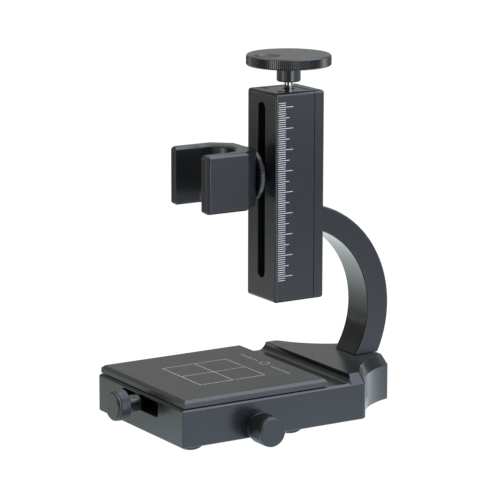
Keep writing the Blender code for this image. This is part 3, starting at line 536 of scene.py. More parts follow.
def toothed(radius, teeth, depth, shape):
    """A turned solid's reach, with teeth wherever its profile is at the full radius."""
    def reach_at(reach, height, angle):
        if reach < radius - 0.02:
            return reach
        return reach - depth * shape(teeth * angle / TURN)

    return reach_at


def threaded_rod(name, ends, radius, thread, pitch, depth, edge, relief, per_pitch, steps):
    """A rod with chamfered ends, threaded between two heights and relieved beside the thread."""
    low, high = ends
    start, end = thread
    crest = radius - 0.001
    count = int((end - start) / pitch * per_pitch)
    profile = [(0.0, low), (radius - edge, low), (radius, low + edge), (radius, start - relief)]
    profile += [(crest, start + (end - start) * i / count) for i in range(count + 1)]
    profile += [(radius, end + relief), (radius, high - edge), (radius - edge, high), (0.0, high)]

    def reach_at(reach, height, angle):
        if reach != crest:
            return reach
        return reach - depth * wave(height / pitch - angle / TURN)

    return turned_solid(name, profile, steps, reach_at)


# ---------------------------------------------------------------- base

SCALLOP_CENTRE = (56.7, 72.9)
SCALLOP_RADIUS = 42.65
FLANK_BOTTOM_Z = 19.75
FLANK_INSET = 2.6
LOW_TOP_Z = 20.75
BASE_EDGE = 0.4
BASE_CHAMFER = 1.02
COVE_RADIUS = 3.0
COVE_WALL_Y = 25.9
COVE_EDGE = 0.25
POCKET_LOW = (-26.0, -54.0)
POCKET_HIGH = (26.0, 1.0)
BUSH_BORE_RADIUS = 3.1
FRONT_SLOT_CENTRE = (0.0, 15.7)
FRONT_SLOT_HALF = (16.6, 3.5)
FRONT_SLOT_ROUND = 1.8

FOOT_RADIUS = 5.9
FOOT_FLAT_RADIUS = 2.0
FOOT_DOME_HEIGHT = 3.0
FOOT_STEM_RADIUS = 2.2
FOOT_STEM_LENGTH = 3.0


def base_outline(inset):
    """The base's plan, drawn in by an inset."""
    low, high = span("base_block")
    side = high.x - inset
    front = low.y + inset
    rear = high.y - inset
    radius = SCALLOP_RADIUS + inset
    cx, cy = SCALLOP_CENTRE
    start = math.pi + math.acos((cx - side) / radius)
    end = math.pi + math.asin((cy - rear) / radius)
    scallop = arc(SCALLOP_CENTRE, radius, start, end, 36)
    half = rounded((0.0, front), (side, front), scallop[0], 0.6, 4)
    half += rounded((side, front), scallop[0], scallop[1], 3.0, 12)
    near = [point for point in scallop[1:-1] if math.dist(point, scallop[0]) > 2.0]
    half += [point for point in near if math.dist(point, scallop[-1]) > 1.6]
    half += rounded(scallop[-2], scallop[-1], (0.0, rear), 1.5, 8)
    return half + [(-x, y) for x, y in reversed(half)]


def step_tool():
    """What is milled off the base's front part, with the cove and a fine edge break at its top."""
    low, high = span("base_block")
    front = low.y - 5 * PAST
    outline = [(front, LOW_TOP_Z)]
    centre = (COVE_WALL_Y - COVE_RADIUS, LOW_TOP_Z + COVE_RADIUS)
    outline += arc(centre, COVE_RADIUS, -math.pi / 2, 0.0, 16)
    outline += [(COVE_WALL_Y, high.z - COVE_EDGE), (COVE_WALL_Y + COVE_EDGE + PAST, high.z + PAST)]
    outline += [(front, high.z + 5 * PAST)]
    tool = stack("step_tool", [(low.x - 5 * PAST, outline), (high.x + 5 * PAST, outline)])
    tool.matrix_world = ACROSS
    return tool


def edge_tool(name, start, end, out):
    """A long tool that chamfers a level edge from start to end; out points away from the block."""
    up = Vector((0, 0, 1))
    reach = 4.0
    section = (
        -out * BASE_CHAMFER, -up * BASE_CHAMFER, out * reach - up * BASE_CHAMFER,
        out * reach + up * reach, -out * BASE_CHAMFER + up * reach)
    made = bmesh.new()
    near = [made.verts.new(start + offset) for offset in section]
    far = [made.verts.new(end + offset) for offset in section]
    skin(made, [near, far])
    return work_object(name, made)


def base_edge_tools():
    """Chamfers along the sides and the front of the base's low part."""
    low, high = span("base_block")
    tools = []
    for sign, side in ((-1, low.x), (1, high.x)):
        start = Vector((side, low.y - 3 * PAST, LOW_TOP_Z))
        end = Vector((side, COVE_WALL_Y - 0.02, LOW_TOP_Z))
        tools.append(edge_tool(f"side_edge_{sign}", start, end, Vector((sign, 0, 0))))
    start = Vector((low.x - 3 * PAST, low.y, LOW_TOP_Z))
    end = Vector((high.x + 3 * PAST, low.y, LOW_TOP_Z))
    tools.append(edge_tool("front_edge", start, end, Vector((0, -1, 0))))
    return tools


def front_slot_tool():
    """The slot in the base's front wall, with a fine edge break."""
    low, _ = span("base_block")
    levels = ((low.y - 0.3, 0.55), (low.y + 0.25, 0.0), (low.y + 13.0, 0.0))
    return slot_tool("front_slot_tool", FRONT_SLOT_CENTRE, FRONT_SLOT_HALF, FRONT_SLOT_ROUND, levels, 8)


def base_hole_tools():
    """Pocket, cover recess, bores for rods, bushes, feet and screws."""
    _, high = span("base_block")
    cover_low, cover_high = span("bottom_cover")
    x_axis = axis_place("x_screw", "X")
    stem_top = span("foot_1")[1].z + GAP
    tools = [
        block("pocket", (*POCKET_LOW, -PAST), (*POCKET_HIGH, high.z + PAST)),
        block("recess", (cover_low.x - GAP, cover_low.y - GAP, -PAST), cover_high + Vector((GAP, GAP, GAP))),
        hole("x_bush_bore", [(BUSH_BORE_RADIUS, 22.0, high.x + PAST)], "X", x_axis),
        hole("x_end_bore", [(BUSH_BORE_RADIUS, -34.6, -22.0)], "X", x_axis),
    ]
    tools += bores("x_guide_rod", 2, "X", [(1.8, -31.0, 31.0)])
    tools += bores("arm_base_screw", 2, "Z", [(3.1, -PAST, 7.6), (1.8, 7.6, 30.0)])
    tools += bores("cover_screw", 4, "Z", [(1.3, 1.0, 9.5)], 24)
    tools += bores("foot", 5, "Z", [(FOOT_STEM_RADIUS + GAP, -PAST, stem_top)], 48)
    return tools


def make_base():
    """The base block, with its cove, chamfers, slot, pocket and bores."""
    low, high = span("base_block")
    levels = [(low.z, BASE_EDGE), (low.z + BASE_EDGE, 0.0), (FLANK_BOTTOM_Z, 0.0)]
    levels += [(high.z - 0.12, FLANK_INSET - 0.06), (high.z, FLANK_INSET + 0.12)]
    base = stack("base_body", [(height, base_outline(inset)) for height, inset in levels])
    carve(base, [step_tool()])
    carve(base, base_edge_tools())
    carve(base, [front_slot_tool()])
    carve(base, base_hole_tools())
    settle(base, "base_block", BLACK, (0, 0, 0), sharp=18)


def make_cover():
    """The cover under the base."""
    low, high = span("bottom_cover")
    levels = ((low.z, 0.25), (low.z + 0.25, 0.0), (high.z, 0.0))
    cover = plate_solid("base_cover", "bottom_cover", levels, 0.8)
    carve(cover, bores("cover_screw", 4, "Z", [(2.2, 1.0, 3.7), (1.3, 3.7, 6.0)], 32))
    settle(cover, "bottom_cover", BLACK, (0, 0, 0))


def make_feet():
    """Domed rubber feet with a small flat below, pushed into the base by a stem."""
    for index in range(1, 6):
        node = f"foot_{index}"
        low, high = span(node)
        brim = (high.x - low.x) / 2
        seat = high.z - FOOT_STEM_LENGTH
        first = math.asin(FOOT_FLAT_RADIUS / FOOT_RADIUS)
        last = math.asin(brim / FOOT_RADIUS)
        profile = [(0.0, 0.0)]
        for step in range(17):
            angle = first + (last - first) * step / 16
            height = FOOT_DOME_HEIGHT * (math.cos(first) - math.cos(angle))
            profile.append((FOOT_RADIUS * math.sin(angle), height))
        profile += [(brim - 0.02, seat - 0.12), (brim - 0.15, seat), (FOOT_STEM_RADIUS, seat)]
        profile += [(FOOT_STEM_RADIUS, high.z), (0.0, high.z)]
        settle_turned(turned_solid(f"rubber_{node}", profile, 72), node, RUBBER, "Z")


# ---------------------------------------------------------------- screws

SCREW_EDGE = 0.22
SOCKET_DEPTH = 0.65


def socket_screw(name, node, axis, head, shank_radius, across, way=1):
    """A hexagon socket screw: head is (radius, height), and way is -1 where the head is at the high end."""
    index = "XYZ".index(axis)
    ends = [corner[index] for corner in span(node)]
    top, tip = ends[::way]
    head_radius, head_height = head
    edge = SCREW_EDGE * way
    seat = top + head_height * way
    profile = [
        (0.0, top),
        (head_radius - SCREW_EDGE, top),
        (head_radius, top + edge),
        (head_radius, seat),
        (shank_radius, seat),
        (shank_radius, tip - edge),
        (shank_radius - SCREW_EDGE, tip),
        (0.0, tip),
    ]
    screw = turned_solid(name, profile, 36)
    floor = top + head_height * SOCKET_DEPTH * way
    socket = sorted((top - 0.2 * way, floor))
    carve(screw, [stack(name + "_socket", [(height, hexagon(across)) for height in socket])])
    settle_turned(screw, node, OXIDE, axis)


def socket_screws(piece, node, copies, axis, head, shank_radius, across, way=1):
    """The same screw for each numbered copy of a CAD node."""
    for index in range(1, copies + 1):
        socket_screw(f"{piece}_{index}", f"{node}_{index}", axis, head, shank_radius, across, way)


def make_screws():
    """Every screw that can be seen from outside, and those behind the covers."""
    socket_screws("cover_socket_screw", "cover_screw", 4, "Z", (1.9, 0.9), 1.0, 1.5)
    socket_screws("rear_socket_screw", "rear_plate_screw", 4, "Y", (1.2, 1.5), 0.7, 0.9, way=-1)
    socket_screws("arm_socket_screw", "arm_base_screw", 2, "Z", (2.75, 3.0), 1.5, 2.5)
    socket_screws("column_socket_screw", "arm_column_screw", 2, "Y", (2.75, 2.6), 1.5, 2.5)
    socket_screws("cap_socket_screw", "top_cap_screw", 2, "Z", (1.1, 0.6), 0.6, 0.9, way=-1)
    socket_screws("stage_socket_screw", "stage_screw", 2, "Z", (1.8, 1.5), 1.0, 1.5)
    socket_screw("clip_socket_screw", "clip_screw", "Y", (3.5, 2.3), 1.5, 3.0)


# ---------------------------------------------------------------- stage

STAGE_BEVEL = 1.35
GRID_HALF = 17.5
LINE_WIDTH = 0.36
MARK_SINK = 0.05
MARK_RISE = 0.012
RULER_Y = 1.9
RULER_LINE_WIDTH = 0.288
RULER_ENDS = (-22, 22)
RULER_BREAK = (-7, 5)
RING_MARK_PLACE = (-1.2, 2.8, 0)
RING_MARK_RADII = (2.1, 2.5)


def make_stage_plate():
    """The stage plate, bevelled round its top."""
    low, high = span("stage_plate")
    bevel_z = high.z - STAGE_BEVEL
    steps = (
        (low.z, 0.2), (low.z + 0.2, 0.0), (bevel_z - 0.06, 0.0), (bevel_z + 0.08, 0.06),
        (high.z - 0.08, STAGE_BEVEL - 0.06), (high.z, STAGE_BEVEL + 0.1))
    plate = plate_solid("stage_top_plate", "stage_plate", steps, 0.35)
    carve(plate, bores("stage_screw", 2, "Z", [(1.3, 19.0, 23.3)], 24))
    settle(plate, "stage_plate", STAGE_FINISH, (0, 0, 0))


def cell_plate(name, xs, ys, filled, low_z, high_z):
    """A thin plate made of the filled cells between sorted xs and ys."""
    made = bmesh.new()
    corners = {}

    def corner(i, j):
        if (i, j) not in corners:
            corners[i, j] = made.verts.new((xs[i], ys[j], low_z))
        return corners[i, j]

    faces = []
    for i in range(len(xs) - 1):
        for j in range(len(ys) - 1):
            if filled(i, j):
                square = (corner(i, j), corner(i + 1, j), corner(i + 1, j + 1), corner(i, j + 1))
                faces.append(made.faces.new(square))
    grown = bmesh.ops.extrude_face_region(made, geom=faces, use_keep_orig=True)
    raised = [item for item in grown["geom"] if isinstance(item, bmesh.types.BMVert)]
    bmesh.ops.translate(made, vec=(0.0, 0.0, high_z - low_z), verts=raised)
    return work_object(name, made)


def make_stage_marks():
    """The crossed square, and a short plain scale with a ring mark behind it."""
    centre, _ = plan("stage_plate")
    top = span("stage_plate")[1].z
    low_z = top - MARK_SINK
    high_z = top + MARK_RISE
    edges = []
    for place in (-GRID_HALF, 0.0, GRID_HALF):
        edges += [place - LINE_WIDTH / 2, place + LINE_WIDTH / 2]
    xs = [centre[0] + edge for edge in edges]
    ys = [centre[1] + edge for edge in edges]
    grid = cell_plate("stage_crossed_square", xs, ys, lambda i, j: i % 2 == 0 or j % 2 == 0, low_z, high_z)
    settle_mark(grid, GREY_MARK, "stage")
    made = bmesh.new()
    for step in range(*RULER_ENDS):
        if RULER_BREAK[0] < step < RULER_BREAK[1]:
            continue
        length = 1.7 if step % 5 == 0 else 1.0
        low = (step - RULER_LINE_WIDTH / 2, RULER_Y, low_z)
        add_bar(made, low, (step + RULER_LINE_WIDTH / 2, RULER_Y + length, high_z))
    settle_mark(work_object("stage_short_scale", made), GREY_MARK, "stage")
    inner, outer = RING_MARK_RADII
    profile = [(inner, low_z), (inner, high_z), (outer, high_z), (outer, low_z)]
    ring = turned_solid("stage_ring_mark", profile, 64)
    settle_mark(ring, GREY_MARK, "stage", RING_MARK_PLACE)


# ---------------------------------------------------------------- arm

ARM_CENTRE = (13.04, 48.65)
ARM_RADII = (42.21, 53.82)
ARM_CORNER = 0.7
ARM_SWEEP = (math.radians(-38), math.radians(82))
ARM_STEPS = 96


def make_arm():
    """The C-shaped arm: a round-edged bar bent to an arc and cut flat at both ends."""
    low, high = span("arm")
    half_width = (high.x - low.x) / 2
    mid_radius = sum(ARM_RADII) / 2
    half_depth = (ARM_RADII[1] - ARM_RADII[0]) / 2
    section = rounded_rectangle((0.0, mid_radius), (half_width, half_depth), ARM_CORNER, 5)
    start, end = ARM_SWEEP
    made = bmesh.new()
    rings = []
    for i in range(ARM_STEPS + 1):
        angle = start + (end - start) * i / ARM_STEPS
        ring = []
        for x, radius in section:
            y = ARM_CENTRE[0] + radius * math.cos(angle)
            z = ARM_CENTRE[1] + radius * math.sin(angle)
            ring.append(made.verts.new((x, y, z)))
        rings.append(ring)
    skin(made, rings)
    arm = work_object("curved_arm", made)
    carve(arm, [
        block("foot_cut", (-FAR, 0.0, low.z - FAR), (FAR, 90.0, low.z)),
        block("top_cut", (-FAR, low.y - FAR, 60.0), (FAR, low.y, 130.0)),
    ])
    taps = bores("arm_base_screw", 2, "Z", [(1.8, 21.0, 34.4)], 32)
    taps += bores("arm_column_screw", 2, "Y", [(1.8, 24.0, 36.5)], 32)
    carve(arm, taps)
    settle(arm, "arm", BLACK, (0, 0, 0))


# ---------------------------------------------------------------- column

COLUMN_CORNER = 1.0
COLUMN_EDGE = 1.4
COLUMN_EDGE_STEPS = 5
SLOT_HALF_WIDTH = 3.1
SLOT_Z = (67.3, 150.9)
CAVITY_LOW = (-8.2, 4.0, 61.6)
CAVITY_HIGH = (8.2, FAR, 151.4)
TICK_SIDE_Y = 1.55
TICK_LENGTHS = (4.0, 6.0, 8.0)
TICK_WIDTH = 0.28
TICK_TOP_Z = 151.54
TICK_COUNT = 85
TICK_FIRST = 2


def column_solid(name):
    """The column's whole outside, round on every edge."""
    low, _ = span("column_housing")
    _, high = span("column_rear_plate")
    centre = (0.0, (low.y + high.y) / 2)
    half = (high.x, (high.y - low.y) / 2)
    bends = []
    for i in range(COLUMN_EDGE_STEPS + 1):
        angle = math.pi / 2 * i / COLUMN_EDGE_STEPS
        bends.append((COLUMN_EDGE * (1 - math.sin(angle)), COLUMN_EDGE * (1 - math.cos(angle))))
    levels = [(low.z + away, inset) for away, inset in reversed(bends)]
    levels += [(high.z - away, inset) for away, inset in bends]
    rings = []
    for height, inset in levels:
        radius = COLUMN_CORNER - inset * 0.6
        rings.append((height, rounded_rectangle(centre, (half[0] - inset, half[1] - inset), radius, 6)))
    return stack(name, rings)


def column_slot_tool():
    """The column's front slot with round ends and a fine edge break."""
    centre = (0.0, (SLOT_Z[0] + SLOT_Z[1]) / 2)
    half = (SLOT_HALF_WIDTH, (SLOT_Z[1] - SLOT_Z[0]) / 2)
    levels = ((-0.3, 0.5), (0.2, 0.0), (5.0, 0.0))
    return slot_tool("column_slot_tool", centre, half, SLOT_HALF_WIDTH - 0.001, levels, 12)


def make_housing():
    """The column's front part: a trough with a slot, closed at its ends."""
    _, high = span("column_housing")
    cap_low, _ = span("column_top_cap")
    lead = axis_place("lead_screw", "Z")
    housing = column_solid("column_body")
    carve(housing, [block("seam_cut", (-FAR, high.y, 0.0), (FAR, FAR, 5 * FAR))])
    carve(housing, [block("cavity", CAVITY_LOW, CAVITY_HIGH)])
    carve(housing, [column_slot_tool()])
    steps = ((cap_low.z - GAP, -GAP), (high.z + 2 * PAST, -GAP))
    carve(housing, [plate_solid("cap_recess", "column_top_cap", steps, 0.9)])
    tools = [
        hole("top_bearing_bore", [(4.3, 150.1, 155.1)], "Z", lead, 48),
        hole("low_bearing_bore", [(3.8, 58.1, 62.6)], "Z", lead, 48),
    ]
    tools += bores("z_guide_rod", 2, "Z", [(1.8, 59.1, 152.7)], 24)
    tools += bores("top_cap_screw", 2, "Z", [(0.9, 152.3, 155.1)], 24)
    tools += bores("rear_plate_screw", 4, "Y", [(1.0, 15.5, 30.0)], 24)
    carve(housing, tools)
    settle(housing, "column_housing", BLACK, (0, 0, 0))


def make_rear_plate():
    """The plate behind the seam, with its screw seats."""
    low, high = span("column_rear_plate")
    seat = high.y - 2.0
    plate = column_solid("column_back_plate")
    carve(plate, [block("front_cut", (-FAR, -FAR, 0.0), (FAR, low.y, 5 * FAR))])
    tools = bores("arm_column_screw", 2, "Y", [(3.1, 18.0, 24.7), (1.8, 24.7, 30.0)], 32)
    tools += bores("rear_plate_screw", 4, "Y", [(1.0, 18.0, seat), (1.5, seat, 30.0)], 32)
    carve(plate, tools)
    settle(plate, "column_rear_plate", BLACK, (0, 0, 0))


def make_top_cap():
    """The cap let into the column's top."""
    low, high = span("column_top_cap")
    bottom = low.z - PAST
    top = high.z + PAST
    seat = high.z - 1.0
    rim = high.z - 0.3
    cap = plate_solid("column_cap", "column_top_cap", ((low.z, 0.0), (high.z - 0.2, 0.0), (high.z, 0.2)), 0.7)
    lead = axis_place("lead_screw", "Z")
    tools = [hole("cap_bore", [(2.3, bottom, rim), (2.9, rim, top)], "Z", lead, 48)]
    tools += bores("top_cap_screw", 2, "Z", [(0.9, bottom, seat), (1.4, seat, top)], 24)
    carve(cap, tools)
    settle(cap, "column_top_cap", BLACK, (0, 0, 0))


def tick_length(place):
    """A scale line's length: every tenth is the longest, and every fifth between is longer than the rest."""
    if place % 10 == 0:
        return TICK_LENGTHS[2]
    return TICK_LENGTHS[1] if place % 5 == 0 else TICK_LENGTHS[0]


def make_scale():
    """The millimetre scale on the column's right face."""
    _, high = span("column_housing")
    made = bmesh.new()
    for index in range(TICK_COUNT):
        length = tick_length(index - TICK_FIRST)
        z = TICK_TOP_Z - index
        low = (high.x - MARK_SINK, TICK_SIDE_Y, z - TICK_WIDTH / 2)
        add_bar(made, low, (high.x + MARK_RISE, TICK_SIDE_Y + length, z + TICK_WIDTH / 2))
    settle_mark(work_object("column_scale", made), WHITE_MARK, "base")


# ---------------------------------------------------------------- focusing drive

WHEEL_TEETH = 126
WHEEL_TOOTH_DEPTH = 0.40
WHEEL_DISC_Z = 167.1
WHEEL_EDGE = 0.5
WHEEL_BORE = 2.3
WHEEL_BORE_TOP_Z = 169.4
HUB_RADIUS = 5.7
HUB_EDGE = 0.45
DIMPLE_RADIUS = 6.5
DIMPLE_DEPTH = 2.0
DIMPLE_REACH = 11.9
SET_SCREW_SOCKET = 0.866


def make_dimple_tool(top):
    """A ball that sinks the finger dimple into the hand wheel's top."""
    ball = (DIMPLE_RADIUS ** 2 + DIMPLE_DEPTH ** 2) / (2 * DIMPLE_DEPTH)
    made = bmesh.new()
    bmesh.ops.create_uvsphere(made, u_segments=96, v_segments=160, radius=ball)
    bmesh.ops.translate(made, vec=(0.0, -DIMPLE_REACH, top - DIMPLE_DEPTH + ball), verts=made.verts)
    return work_object("dimple", made)


def make_wheel():
    """The hand wheel: straight knurl, hub, finger dimple and set screw hole."""
    low, high = span("hand_wheel")
    radius = (high.x - low.x) / 2
    face = radius - WHEEL_EDGE
    top = high.z - WHEEL_EDGE
    under = WHEEL_DISC_Z + WHEEL_EDGE
    profile = [
        (0.0, high.z),
        (face - 0.15, high.z),
        (face, high.z - 0.06),
        (radius - 0.04, top),
        (radius, top - 0.05),
        (radius, under + 0.05),
        (radius - 0.04, under),
        (face, WHEEL_DISC_Z),
        (HUB_RADIUS + 0.4, WHEEL_DISC_Z),
        (HUB_RADIUS, WHEEL_DISC_Z - 0.4),
        (HUB_RADIUS, low.z + HUB_EDGE),
        (HUB_RADIUS - HUB_EDGE, low.z),
        (WHEEL_BORE + 0.3, low.z),
        (WHEEL_BORE, low.z + 0.3),
        (WHEEL_BORE, WHEEL_BORE_TOP_Z),
        (0.0, WHEEL_BORE_TOP_Z),
    ]
    teeth = toothed(radius, WHEEL_TEETH, WHEEL_TOOTH_DEPTH, ridge)
    wheel = turned_solid("focus_wheel", profile, WHEEL_TEETH * 6, teeth)
    screw = middle("wheel_set_screw")
    side = hole("set_screw_bore", [(1.3, 1.8, 8.0)], "Y", (0, 0, screw.z), 24)
    carve(wheel, [make_dimple_tool(high.z), side])
    settle_turned(wheel, "hand_wheel", BLACK_TURNED, "Z")


def make_lead_screw():
    """The focusing screw: plain and polished at its top, threaded below."""
    low, high = span("lead_screw")
    screw = threaded_rod(
        "focus_lead_screw", (low.z, high.z), (high.x - low.x) / 2, (62.6, 150.6),
        pitch=1.0, depth=0.32, edge=0.4, relief=0.5, per_pitch=8, steps=28)
    settle_turned(screw, "lead_screw", STEEL, "Z", sharp=60)


def make_set_screw():
    """The hub's set screw, with its socket."""
    low, high = span("wheel_set_screw")
    radius = (high.x - low.x) / 2
    profile = [(0.0, low.y), (radius - 0.3, low.y), (radius, low.y + 0.3)]
    profile += [(radius, high.y - 0.2), (radius - 0.2, high.y), (0.0, high.y)]
    screw = turned_solid("hub_set_screw", profile, 32)
    socket = [(height, hexagon(SET_SCREW_SOCKET)) for height in (high.y - 1.2, high.y + 0.3)]
    carve(screw, [stack("set_socket", socket)])
    settle_turned(screw, "wheel_set_screw", OXIDE, "Y")


# ---------------------------------------------------------------- clip

RING_TEETH = 70
RING_TOOTH_DEPTH = 0.45
RING_EDGE = 0.35
SPINDLE_BORE = 2.8
CLIP_MOUTH_RADIUS = 11.5
CLIP_MOUTH_Y = -27.5
CLIP_CUT = 1.5
CLIP_SIDE_END_Y = -17.9
CLIP_BACK_HALF_WIDTH = 9.4
CLIP_CHAMFER = 1.1
CLIP_ROUND = 0.35
CLIP_SEAT_Y = -13.5


def clip_outline():
    """The fork from above: flat sides, cut corners and a round-ended mouth."""
    low, high = span("clip_fork")
    half = high.x
    right = [
        (CLIP_MOUTH_RADIUS, low.y), (half - CLIP_CUT, low.y), (half, low.y + CLIP_CUT),
        (half, CLIP_SIDE_END_Y), (CLIP_BACK_HALF_WIDTH, high.y)]
    left = [(-x, y) for x, y in reversed(right)]
    return right + left + arc((0.0, CLIP_MOUTH_Y), CLIP_MOUTH_RADIUS, math.pi, 0.0, 64)


def make_clip():
    """The fork that holds the microscope."""
    low, high = span("clip_fork")
    outline = clip_outline()
    fork = stack("clip_body", [(low.z, outline), (high.z, outline)])
    chamfer_rims(fork, CLIP_CHAMFER)
    soften(fork, CLIP_ROUND, 3, 20.0)
    sections = [(3.8, -30.0, CLIP_SEAT_Y), (1.8, CLIP_SEAT_Y, 0.0)]
    carve(fork, [hole("clip_bore", sections, "Y", axis_place("clip_screw", "Y"), 48)])
    settle(fork, "clip_fork", BLACK, (0, 0, 0))


def make_lock_ring():
    """The lock ring behind the clip, with a coin edge."""
    low, high = span("lock_ring")
    radius = (high.x - low.x) / 2
    face = radius - RING_EDGE - 0.1
    half = [
        (SPINDLE_BORE, low.y), (face, low.y), (radius - 0.03, low.y + RING_EDGE), (radius, low.y + RING_EDGE)]
    other = [(reach, low.y + high.y - height) for reach, height in reversed(half)]
    teeth = toothed(radius, RING_TEETH, RING_TOOTH_DEPTH, ridge)
    ring = turned_solid("clip_lock_ring", half + other, RING_TEETH * 6, teeth)
    settle_turned(ring, "lock_ring", BLACK_KNURL, "Y")


def make_spacer():
    """The spacer between the carriage and the lock ring."""
    low, high = span("spindle_spacer")
    radius = (high.x - low.x) / 2
    profile = [(SPINDLE_BORE, low.y), (radius - 0.3, low.y), (radius, low.y + 0.3), (radius, high.y - 0.3)]
    profile += [(radius - 0.3, high.y), (SPINDLE_BORE, high.y)]
    settle_turned(turned_solid("clip_spacer", profile, 64), "spindle_spacer", BLACK_TURNED, "Y")


# ---------------------------------------------------------------- stage drives

KNOB_TEETH = 88
KNOB_TOOTH_DEPTH = 0.13
# The knob's stepped face: radius, and distance from the face
KNOB_FACE = (
    (0.0, 0.0),
    (5.90, 0.0),
    (6.08, 0.06),
    (6.15, 0.20),
    (6.15, 0.42),
    (6.22, 0.50),
    (6.68, 0.60),
    (6.88, 0.80),
    (6.95, 1.05),
    (6.95, 1.50),
    (6.80, 1.56),
    (6.80, 1.74),
    (6.92, 1.80),
)
KNOB_KNURL_START = 2.0
KNOB_BORE = 1.8
BUSH_FLANGE_X = 39.5
BUSH_FLANGE_RADIUS = 6.6


def knob_profile(radius, face, back, neck_radius, neck_end):
    """A thumb knob from its face to its neck: stepped face, groove, knurled body, neck and blind bore."""
    way = 1 if back > face else -1
    bore_end = back + (face - back) * 0.55
    return [(reach, face + way * distance) for reach, distance in KNOB_FACE] + [
        (radius - 0.04, face + way * KNOB_KNURL_START),
        (radius, face + way * (KNOB_KNURL_START + 0.05)),
        (radius, back - way * 0.45),
        (radius - 0.04, back - way * 0.4),
        (radius - 0.5, back),
        (neck_radius + 0.3, back),
        (neck_radius, back + way * 0.3),
        (neck_radius, neck_end - way * 0.25),
        (neck_radius - 0.25, neck_end),
        (KNOB_BORE, neck_end),
        (KNOB_BORE, bore_end),
        (0.0, bore_end),
    ]


def make_knob(name, node, axis, face, back, neck_radius, neck_end):
    """A knob on the X or Y screw."""
    low, high = span(node)
    radius = (high.z - low.z) / 2
    profile = knob_profile(radius, face, back, neck_radius, neck_end)
    knob = turned_solid(name, profile, KNOB_TEETH * 6, toothed(radius, KNOB_TEETH, KNOB_TOOTH_DEPTH, wave))
    settle_turned(knob, node, BLACK_TURNED, axis)


def make_bush():
    """The X screw's bush, with the flange that stands off the base's wall."""
    low, high = span("x_bush")
    outer = BUSH_FLANGE_RADIUS
    profile = [(1.8, high.x), (outer - 0.12, high.x), (outer, high.x - 0.12), (outer, BUSH_FLANGE_X + 0.15)]
    profile += [(outer - 0.15, BUSH_FLANGE_X), (2.8, BUSH_FLANGE_X), (2.8, low.x), (1.8, low.x)]
    settle_turned(turned_solid("x_flanged_bush", profile, 72), "x_bush", BLACK_TURNED, "X")


def make_stage_screw(node, axis, thread):
    """A stage screw, threaded where its nut runs."""
    index = "XYZ".index(axis)
    low, high = span(node)
    screw = threaded_rod(
        f"{node}_threaded", (low[index], high[index]), 1.5, thread,
        pitch=0.5, depth=0.2, edge=0.2, relief=0.3, per_pitch=6, steps=20)
    settle_turned(screw, node, STEEL, axis, sharp=60)


def make_stage_drives():
    """Both knobs, the X bush and the two stage screws."""
    low, high = span("x_knob")
    make_knob("x_thumb_knob", "x_knob", "X", high.x, 42.5, 3.8, low.x)
    low, high = span("y_knob")
    make_knob("y_thumb_knob", "y_knob", "Y", low.y, -74.1, 4.0, high.y)
    make_bush()
    make_stage_screw("x_screw", "X", (-23.5, 23.5))
    make_stage_screw("y_screw", "Y", (-45.0, -8.0))


# ---------------------------------------------------------------- studio

FLOOR_RADIUS = 12.0
FLOOR_MATT = 0.03
BOUNCE_DEPTH = 0.0005
WHITE = 1.05
# Light given up by the floor: distance from the stand in metres, and brightness
FLOOR_LIGHT = (
    (0.0, (1.12, 1.26, 1.33)),
    (0.3, (0.73, 0.77, 0.79)),
    (0.7, (0.0, 0.0, 0.0)),
    (1.5, (0.78, 0.71, 0.57)),
    (4.0, (3.9, 4.5, 5.3)),
)
# How the floor's light differs to the right, to the front left and to the back left of the stand
FLOOR_RIGHT = (1.04, 1.08, 1.20)
FLOOR_FRONT_LEFT = (0.81, 0.82, 0.75)
FLOOR_BACK_LEFT = (1.75, 1.75, 1.68)
FLOOR_TURN = 0.04
# The far floor is dark towards the lens, with a bright card on each side: direction, half angles, change
FLOOR_SHADE = ((0.86, -0.51, 0.0), 6.0, 24.0, -0.8)
FLOOR_CARDS = (
    ((1.0, 0.08, 0.0), 4.0, 15.0, 4.0),
    ((0.0, -1.0, 0.0), 3.0, 13.0, 2.2),
)
CARD_NEAR = 0.25
CARD_FAR = 1.6

# Soft lights of the studio: direction, inner and outer half angle in degrees, and brightness
LOBES = (
    ((0.21, 0.52, 0.83), 18.0, 40.0, (1.8, 1.86, 2.6)),
    ((0.00, 0.00, 1.00), 20.0, 60.0, (1.28, 1.33, 1.18)),
    ((-0.83, 0.52, 0.21), 15.0, 45.0, (0.35, 0.36, 0.38)),
    ((0.83, 0.52, 0.00), 20.0, 50.0, (2.0, 2.26, 2.8)),
    ((-0.83, -0.21, 0.52), 15.0, 40.0, (0.20, 0.21, 0.24)),
)
AMBIENT = (0.10, 0.10, 0.07)
STRONGEST = 8.0


def glow_surface(name):
    """A plain white glowing surface."""
    made, tree, output = node_tree(name)
    shader = add_node(tree, "ShaderNodeEmission", {"Color": (1.0, 1.0, 1.0, 1.0), "Strength": WHITE})
    tree.links.new(shader.outputs["Emission"], output.inputs["Surface"])
    return made


def lobe(tree, direction, towards, inner, outer):
    """A soft round window, 1 within the inner half angle of a direction and 0 beyond the outer one."""
    inputs = {0: direction, 1: Vector(towards).normalized()}
    cosine = add_node(tree, "ShaderNodeVectorMath", inputs, operation="DOT_PRODUCT").outputs["Value"]
    return smooth_step(tree, cosine, math.cos(math.radians(outer)), math.cos(math.radians(inner)))


def floor_rings(tree, distance):
    """The floor's light by its distance from the stand."""
    reach = FLOOR_LIGHT[-1][0]
    place = value_math(tree, "DIVIDE", distance, reach)
    colours = add_node(tree, "ShaderNodeValToRGB", {"Fac": place})
    stops = colours.color_ramp.elements
    for index, (away, brightness) in enumerate(FLOOR_LIGHT):
        stop = stops[index] if index < 2 else stops.new(away / reach)
        stop.position = away / reach
        stop.color = (*(part / STRONGEST for part in brightness), 1.0)
    return colours.outputs["Color"]


